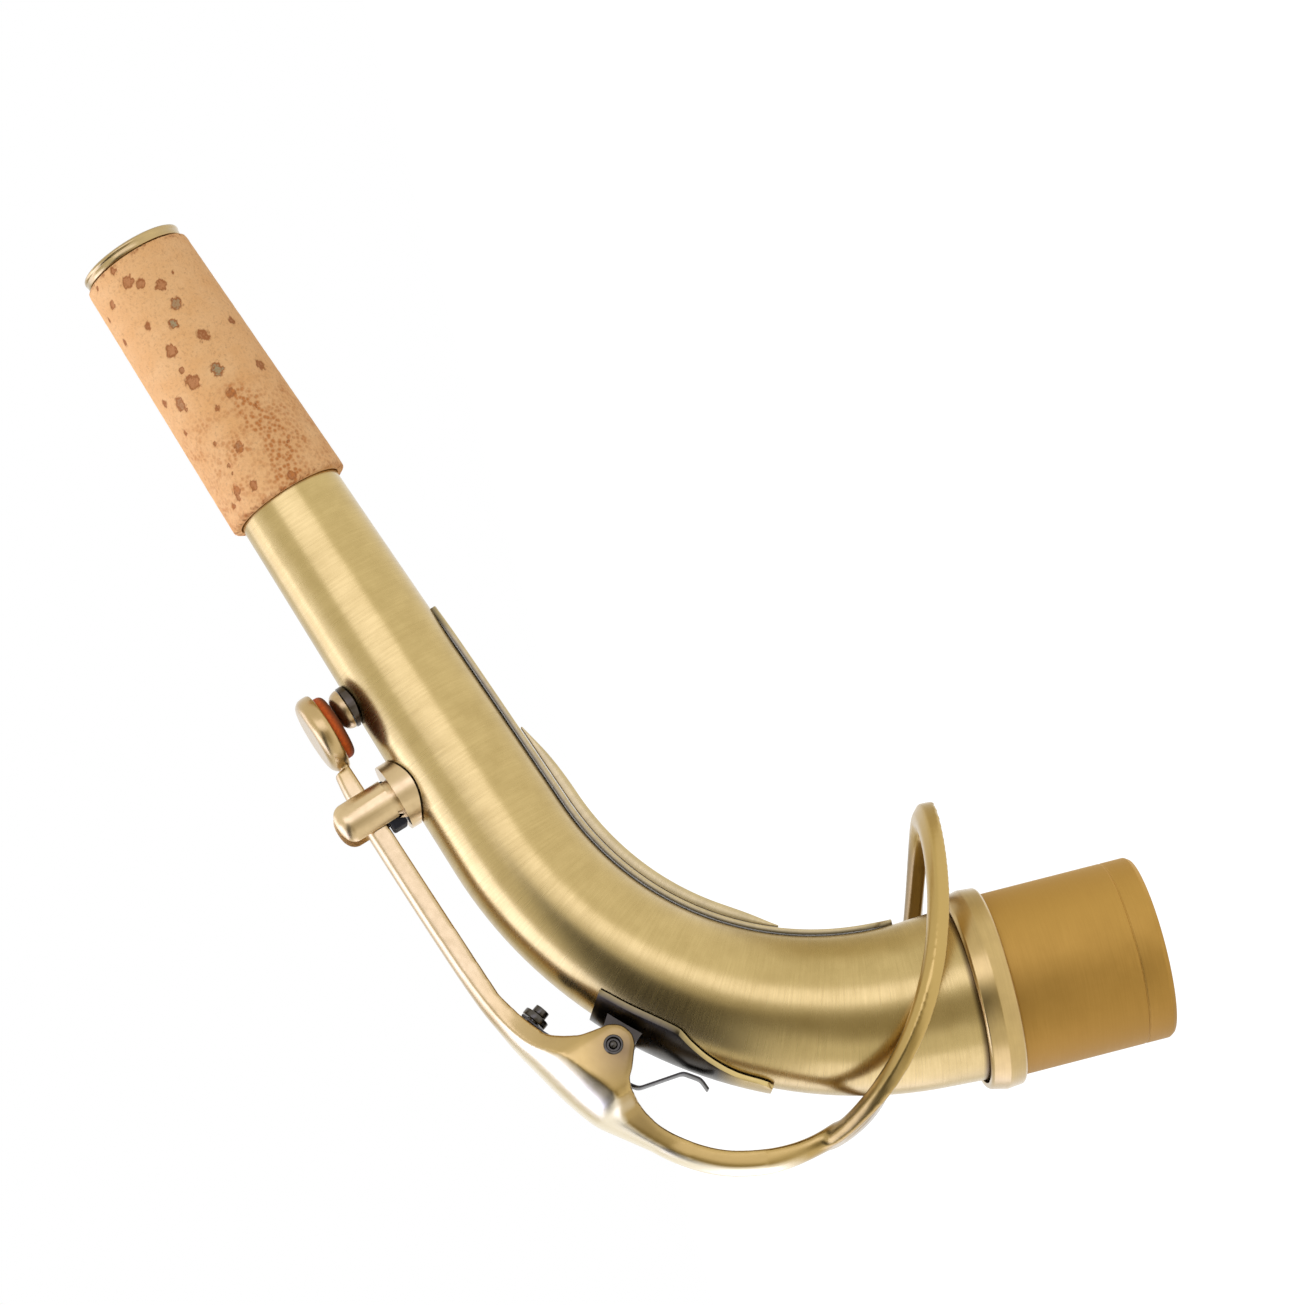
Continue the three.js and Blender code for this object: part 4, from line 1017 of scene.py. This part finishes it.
end_x, end_z = on_lever(-0.182, 0.297)
arm_start = leg_place @ Vector((end_x, 0, end_z))
start_way = leg_direction(radians(15))
neck_point = from_hinge(0.377, 0.25)
neck_way = leg_direction(radians(57))
arm_line = bezier(arm_start - start_way * 1.0, arm_start + start_way * 4.5, neck_point - neck_way * 4.5, neck_point)
loop_line = bezier(neck_point, neck_point + neck_way * 22.3, from_hinge(0.034, 0.945), from_hinge(-0.462, 1))
spine = arm_line + loop_line[1:]
reach = [0]
for a, b in zip(spine, spine[1:]):
    reach.append(reach[-1] + (b - a).length)
arm_span = reach[len(arm_line) - 1] + 12.5


def on_spine(length):
    # A point of the line, the way along it and the way out from the neck
    k = min(max(sum(1 for r in reach if r <= length) - 1, 0), len(spine) - 2)
    t = (length - reach[k]) / (reach[k + 1] - reach[k])
    way = (spine[min(len(spine) - 1, k + 2)] - spine[max(0, k - 1)]).normalized()
    return spine[k].lerp(spine[k + 1], t), way, crosswise.cross(way)


print("arm", round(arm_span, 2), "mm, whole line", round(reach[-1], 2), "mm")

# %% Arm behind the lever
bar, arm_half, arm_bow = 2.7, 2.4, 1.05
arm_end = arm_span + 2.6
arm_top = [(bar / 2 + arm_bow * (math.cos(radians(a)) - 1) / (1 - math.cos(arc_half)) + 0.5,
            arm_half * math.sin(radians(a)) / math.sin(arc_half)) for a in range(-60, 61, 6)]
arm = outline_face("ring_arm", arm_top + [(-bar / 2, arm_half), (-bar / 2, -arm_half)])
arm_places, arm_sizes = [], []
for length in lengths_between(0, arm_end, 0.9):
    point, way, away = on_spine(length)
    closing = clamped((length - arm_end + 12) / 9)
    thick = 1 + 0.12 * max(0, 1 - length / 9) ** 2 - 0.156 * closing ** 2 * (3 - 2 * closing)
    wide = 1 - 0.26 * length / arm_end + 0.035 * max(0, length - arm_span + 3) ** 1.4
    sunk = Matrix.Translation((min(0, thick - 1) * bar / 2, 0, 0))
    arm_places.append(place_from(point, away, way) @ sunk)
    arm_sizes.append((thick, wide))
sweep(arm, arm_places, arm_sizes)
round_edges(arm, 0.3, 2, 40)
tell(arm)

# %% Loop round the neck
bar_width, apex_width, loop_play = 3.2, 4.4, 0.9
filed_depth, filed_width = 0.8, 1.1
loop_half_length = (reach[-1] - apex_width / 2 - arm_span + bar_width / 2) / 2
loop_half_width = foot_radius + loop_play + bar_width / 2
loop_middle = arm_span + loop_half_length - bar_width / 2


def powered(value, exponent):
    return math.copysign(abs(value) ** exponent, value)


def loop_point(angle):
    # The branches part slowly, because the fork is filled. The loop stands 0.2 mm out, and it is bent a little
    # out of true: beyond the fork its far side lies nearer the leg
    at_fork = math.cos(angle) > 0
    exponent = 2 / (1.55 if at_fork else 1.8)
    fork = 1 + max(0, math.cos(angle)) * 0.04
    along = loop_half_length * (1 - fork * powered(math.cos(angle), exponent))
    point, _, away = on_spine(loop_middle - loop_half_length + along)
    side = powered(math.sin(angle), exponent) * (1 - math.exp(-(max(0, along + 1) / 6.6) ** 1.5))
    point = point + away * (0.2 - 1.3 * max(0, side) ** (8 if at_fork else 1.5))
    return Vector((point.x, loop_half_width * side, point.z)), away


loop_places, loop_sizes, loop_count = [], [], 120
for k in range(loop_count + 1):
    angle = 0.04 + (2 * math.pi - 0.08) * k / loop_count
    point, away = loop_point(angle)
    forward = (loop_point(angle + 0.01)[0] - loop_point(angle - 0.01)[0]).normalized()
    leaning = away - crosswise * 0.3 * math.sin(angle) * abs(math.sin(angle))
    outer = (leaning - forward * leaning.dot(forward)).normalized()
    loop_places.append(place_from(point, outer, forward))
    wide = bar_width + (apex_width - bar_width) * max(0, -math.cos(angle)) ** 3
    grown = 0.45 + 0.55 * min(1, (1 - math.cos(angle)) * 9)
    loop_sizes.append((grown, grown * wide / bar_width))
# The bar's inner corners are filed away, so that the loop clears the tube when the key is pressed
loop = outline_face("ring_loop", [
    (bar / 2, bar_width / 2), (filed_depth - bar / 2, bar_width / 2), (-bar / 2, bar_width / 2 - filed_width),
    (-bar / 2, filed_width - bar_width / 2), (filed_depth - bar / 2, -bar_width / 2), (bar / 2, -bar_width / 2)])
sweep(loop, loop_places, loop_sizes)
round_edges(loop, 0.42, 2, 40)
tell(loop)

# %% Pad cup
cup_top = cup_rim + 2.6
cup = turned("pad_cup_disc", [
    (0, cup_rim + 1.0), (4.8, cup_rim + 1.0), (4.8, cup_rim), (5.25, cup_rim), (5.5, cup_rim + 0.25)]
    + arc(4.1, cup_top - 1.4, 1.4, range(0, 91, 9)) + [(0, cup_top)], along_leg(pad_distance))
tell(cup)

# %% One casting
key = melt_together("octave_key", [lever, arm, loop, cup])
cast(key, 0.2, 20)


def file_down(piece, centre, size, iterations):
    # Smooths a joint by hand: the filing fades out at its edge
    group = piece.vertex_groups.new(name="filed_joint")
    for vertex in piece.data.vertices:
        weight = 1.6 * (1 - (vertex.co - centre).length / size)
        if weight > 0:
            group.add([vertex.index], min(1, weight), "REPLACE")
    apply(piece, "SMOOTH", "file_joint", factor=0.5, iterations=iterations, vertex_group="filed_joint")
    piece.vertex_groups.clear()


file_down(key, on_spine(arm_span + 3)[0], 12, 90)
file_down(key, on_spine(3)[0], 6, 25)
pin_radius = 1.08
carve(key, sleeve("pin_hole", 0, pin_radius, -9, 9, place_from(hinge_point, hinge_outward, crosswise)))
tell(key)

# %% Painted highlights and painted shade on the casting
# The outer side of the lever and of the arm gets a painted highlight, and the corners round the pivot, the joints at
# both ends of the arm and the loop's far branch get painted shade
spine_tree = KDTree(len(spine))
for k, point in enumerate(spine):
    spine_tree.insert(point, k)
spine_tree.balance()


def painted_highlight(vertex):
    on_leg = to_leg @ vertex.co
    if on_leg.x > end_x and on_leg.z > hinge_on_leg.z - 6:
        fade = 1 - 0.95 * clamped((on_leg.x - hinge_on_leg.x - 3) / 9)
        return fade * (vertex.normal.dot(hinge_outward) - 0.3) / 0.4
    length = reach[spine_tree.find(vertex.co)[1]]
    return clamped((arm_span - 3 - length) / 6) * (vertex.normal.dot(on_spine(length)[2]) - 0.3) / 0.4


def painted_shade(vertex):
    on_leg = to_leg @ vertex.co
    round_pivot = 1 - math.hypot(on_leg.x - hinge_on_leg.x + 1.2, on_leg.z - hinge_on_leg.z + 0.8) / 5.5
    if on_leg.x > end_x + 3 and on_leg.z > hinge_on_leg.z - 6:
        return round_pivot
    length = reach[spine_tree.find(vertex.co)[1]]
    far_side = 0.75 * min(1, (vertex.co.y - 2) / 4) if length > arm_span else 0
    return max(round_pivot, 0.45 * (1 - abs(length - 2) / 7), 0.4 * (1 - abs(length - arm_span - 4) / 10), far_side)


paint(key, "painted_highlight", painted_highlight)
paint(key, "painted_shade", painted_shade)
hand_over(key, key_casting, "octave_key", "key_brass", "key_lever", "key_ring", "pad_cup", smooth=180)

# %% [markdown]
# ## Saddle plate and hinge
# A shaped sheet is soldered over the bend under the hinge. It is a shell, carved from two copies of the tube
# with a margin, and trimmed to its outline, which is laid out along the bend and pushed through the shell.

# %% Saddle plate
plate_shares = [(0, 0.93), (0.08, 0.96), (0.45, 1), (0.54, 0.84), (0.66, 0.62), (0.81, 0.42), (0.96, 0.35), (1, 0.24)]
plate_top, plate_tail, plate_wrap = 47.1, 22.4, radians(41)
sheet_outer = 0.8
plate_middle, plate_along, plate_out = axis_at(angle_length((plate_top + plate_tail) / 2))
plate_frame = place_from(plate_middle, plate_along, plate_out)


def over_plate(name, beyond, margin):
    # The tube's shape with a margin, some degrees longer than the plate at both ends
    return round_along(name, angle_length(plate_tail - beyond), angle_length(plate_top + beyond), margin)


edge_points = []
for share in lengths_between(0, 1, 1 / 32):
    length = angle_length(plate_top + (plate_tail - plate_top) * share)
    wrap = plate_wrap * from_table(plate_shares, share)
    point, _, outward = axis_at(length)
    radius = radius_at(length) + 1.1
    place = point + outward * (radius * math.cos(wrap)) + Vector((0, radius * math.sin(wrap), 0))
    local = plate_frame.inverted() @ place
    edge_points.append((local.x, abs(local.y)))
plate_outline = edge_points + [(x, -y) for x, y in reversed(edge_points)]
saddle = over_plate("saddle", 8, sheet_outer)
carve(saddle, over_plate("tube_clear", 12, gap))
stamp = outline_face("stamp", plate_outline)
extrude(0, 0, 24)
close_up(stamp)
settle(stamp, plate_frame)
carve(saddle, stamp, "INTERSECT")
round_edges(saddle, 0.16, 3, 50)


# Painted edge highlight: strong on the side faces, which do not face out from the bend
def painted_edge_highlight(vertex):
    swing = math.atan2(vertex.co.z - foot_length, bend_radius - vertex.co.x)
    middle = Vector((bend_radius - bend_radius * math.cos(swing), 0, foot_length + bend_radius * math.sin(swing)))
    return 2.2 - 3 * abs(vertex.normal.dot((vertex.co - middle).normalized()))


paint(saddle, "painted_edge_highlight", painted_edge_highlight)
hand_over(saddle, plate_brass, "neck", "plate_brass", "saddle_plate")

# %% Hinge post
hinge_frame = place_from(hinge_point, hinge_along, hinge_outward)


def cross_rod(name, radius, low, high):
    # A rod across the neck, through the pivot
    return sleeve(name, 0, radius, low, high, hinge_frame @ Matrix.Rotation(radians(-90), 4, "X"), 64)


post_half = lever_half - cheek - 0.15
post_depth = barrel_radius + hinge_distance / 2
post = slab("hinge_post_piece", [(-2.0, 0), (-3.4, -post_depth), (3.4, -post_depth), (2.0, 0)], post_half,
            hinge_frame)
carve(post, cross_rod("barrel", 2.0, -post_half, post_half), "UNION")
carve(post, cross_rod("post_bore", pin_radius, -9, 9))
carve(post, over_plate("plate_clear", 15, 0.9))
round_edges(post, 0.15, 2, 50)
hand_over(post, plate_brass, "neck", "plate_brass", "hinge_post")

# %% Hinge screw
screw = cross_rod("hinge_screw_piece", 1.0, -6.1, 6.7)
screw_head = turned("screw_head", [
    (0, 6.1), (1.3, 6.1), (1.3, 6.85), (1.2, 6.95), (1.0, 6.95), (0.9, 6.8), (0.85, 6.35), (0.6, 6.35),
    (0.55, 6.65), (0.4, 6.85), (0.2, 6.93), (0, 6.95)], hinge_frame @ Matrix.Rotation(radians(90), 4, "X"), 64)
carve(screw, screw_head, "UNION")
hand_over(screw, black_steel, "octave_key", "black_steel", "hinge_screw")

# %% [markdown]
# ## Spring
# A flat steel spring is screwed under the arm. It bends over the hinge post and presses on the saddle plate,
# which keeps the pad down on the pip until the ring is pushed.

# %% Spring screw and washer
spring_x = on_lever(0.172, 0)[0]
seat_far, seat_near = face[2], face[3]
seat_slope = math.atan2(seat_far[1] - seat_near[1], seat_far[0] - seat_near[0])
spring_z = seat_far[1] + (spring_x - seat_far[0]) * math.tan(seat_slope)
spring_frame = leg_place @ Matrix.Translation((spring_x, 0, spring_z)) @ Matrix.Rotation(
    math.pi - seat_slope, 4, "Y")
washer = sleeve("washer", 0.9, 1.8, 0.8, 1.7, spring_frame, 64)
round_edges(washer, 0.1, 2)
hand_over(washer, black_steel, "octave_key", "black_steel", "spring_washer")
spring_bolt = turned("spring_bolt", [
    (0, -1.4), (0.7, -1.4), (0.7, 1.9), (1.05, 1.9), (1.05, 2.8), (0, 2.8)], None, 48)
bolt_cut = new_piece("bolt_cut", bpy.ops.mesh.primitive_cube_add, size=1, location=(0, 0, 2.8), scale=(4, 0.4, 0.6))
settle(bolt_cut, Matrix.Identity(4))
carve(spring_bolt, bolt_cut)
settle(spring_bolt, spring_frame)
round_edges(spring_bolt, 0.08, 2)
hand_over(spring_bolt, black_steel, "octave_key", "black_steel", "spring_screw")

# %% Flat spring
def on_middle_plane(point):
    # A point of the neck's middle plane, as its places along and out from the leg
    local = to_leg @ point
    return Vector((local.x, local.z))


def seat(distance):
    return on_middle_plane(spring_frame @ Vector((distance, 0, 0.4)))


def on_plate(degrees, rise):
    point, _, outward = axis_at(angle_length(degrees))
    return on_middle_plane(point + outward * (radius_at(angle_length(degrees)) + plate_outer + 0.2 + rise))


def on_pivot(along, up):
    return Vector((hinge_on_leg.x + along, hinge_on_leg.z + up))


corners = [seat(-1.6), seat(2.1), on_pivot(-5.0, 0.3), on_pivot(-6.0, -0.45),
           on_plate(33.4, 0), on_plate(31.1, 0), on_plate(29.9, 1.0)]
line = [corners[0]]
for before, corner, after in zip(corners, corners[1:], corners[2:]):
    cut = min(0.5, 0.4 * (corner - before).length, 0.4 * (after - corner).length)
    a = corner + (before - corner).normalized() * cut
    b = corner + (after - corner).normalized() * cut
    line += [a.lerp(corner, t).lerp(corner.lerp(b, t), t) for t in (0, 0.25, 0.5, 0.75, 1)]
line.append(corners[-1])
spring_places = []
for k, point in enumerate(line):
    way = (line[min(k + 1, len(line) - 1)] - line[max(k - 1, 0)]).normalized()
    spring_places.append(leg_place @ place_from(
        Vector((point.x, 0, point.y)), Vector((-way.y, 0, way.x)), Vector((way.x, 0, way.y))))


def bar_section(name, x, y):
    return outline_face(name, [(x, y), (-x, y), (-x, -y), (x, -y)])


spring_half_thick, spring_half_width = 0.13, 1.4
spring = sweep(bar_section("spring_strip", spring_half_thick, spring_half_width), spring_places)
carve(spring, sleeve("spring_hole", 0, 0.9, -3, 3, spring_frame, 48))
round_edges(spring, 0.06, 2, 50)
hand_over(spring, spring_steel, "octave_key", "spring_steel", "flat_spring")

# %% [markdown]
# ## Brace
# A flat strap with a rib stiffens the inner side of the bend, where the tube would fold first. Both are bars
# drawn along the bend, with widths and heights that taper at their ends.

# %% Strap
def under_bend(length, depth, half):
    return on_tube(length) @ Matrix.Translation((-depth - half, 0, 0))


strap_start, strap_end, strap_thick = angle_length(3), tube_length - 63, 0.65
strap_half = strap_thick / 2
strap_shares = [(0, 0.5), (0.03, 0.9), (0.07, 1), (0.91, 1), (0.95, 0.95), (0.98, 0.72), (1, 0.3)]
strap_places, strap_sizes = [], []
for length in lengths_between(strap_start, strap_end, 1):
    share = (length - strap_start) / (strap_end - strap_start)
    strap_places.append(under_bend(length, radius_at(length) + gap, strap_half))
    strap_sizes.append((1, from_table(strap_shares, share)))
across = [2.3 - 0.46 * k for k in range(11)]
strap = outline_face("brace_strap", [(strap_half + y * y / 17, y) for y in across]
                     + [(-strap_half + y * y / 22, y) for y in reversed(across)])
sweep(strap, strap_places, strap_sizes)
round_edges(strap, 0.1, 2, 50)
# Painted contact shadow along the strap's edges next to the tube
paint(strap, "painted_contact_shadow", lambda vertex: 1.5 - (above_tube(vertex) - gap) / 0.3)
hand_over(strap, brace_brass, "neck", "brace_brass", "brace_plate")

# %% Rib
rib_start, rib_end = angle_length(25), tube_length - 83
rib_height, rib_half_width = 1.4, 0.5
rib_shares = [(0, 0.15), (0.1, 0.8), (0.2, 1), (0.8, 1), (0.9, 0.8), (1, 0.15)]
rib_places, rib_sizes = [], []
for length in lengths_between(rib_start, rib_end, 1):
    height = rib_height * from_table(rib_shares, (length - rib_start) / (rib_end - rib_start))
    rib_places.append(under_bend(length, radius_at(length) + gap + strap_thick + gap, height / 2))
    rib_sizes.append((height / rib_height, 1))
rib = sweep(bar_section("brace_ridge", rib_height / 2, rib_half_width), rib_places, rib_sizes)
round_edges(rib, 0.15, 2, 50)
# Painted contact shadow at the rib's foot, next to the strap
paint(rib, "painted_contact_shadow", lambda vertex: 1.3 - (above_tube(vertex) - gap - strap_thick) / 0.3)
hand_over(rib, brace_brass, "neck", "brace_brass", "brace_rib")
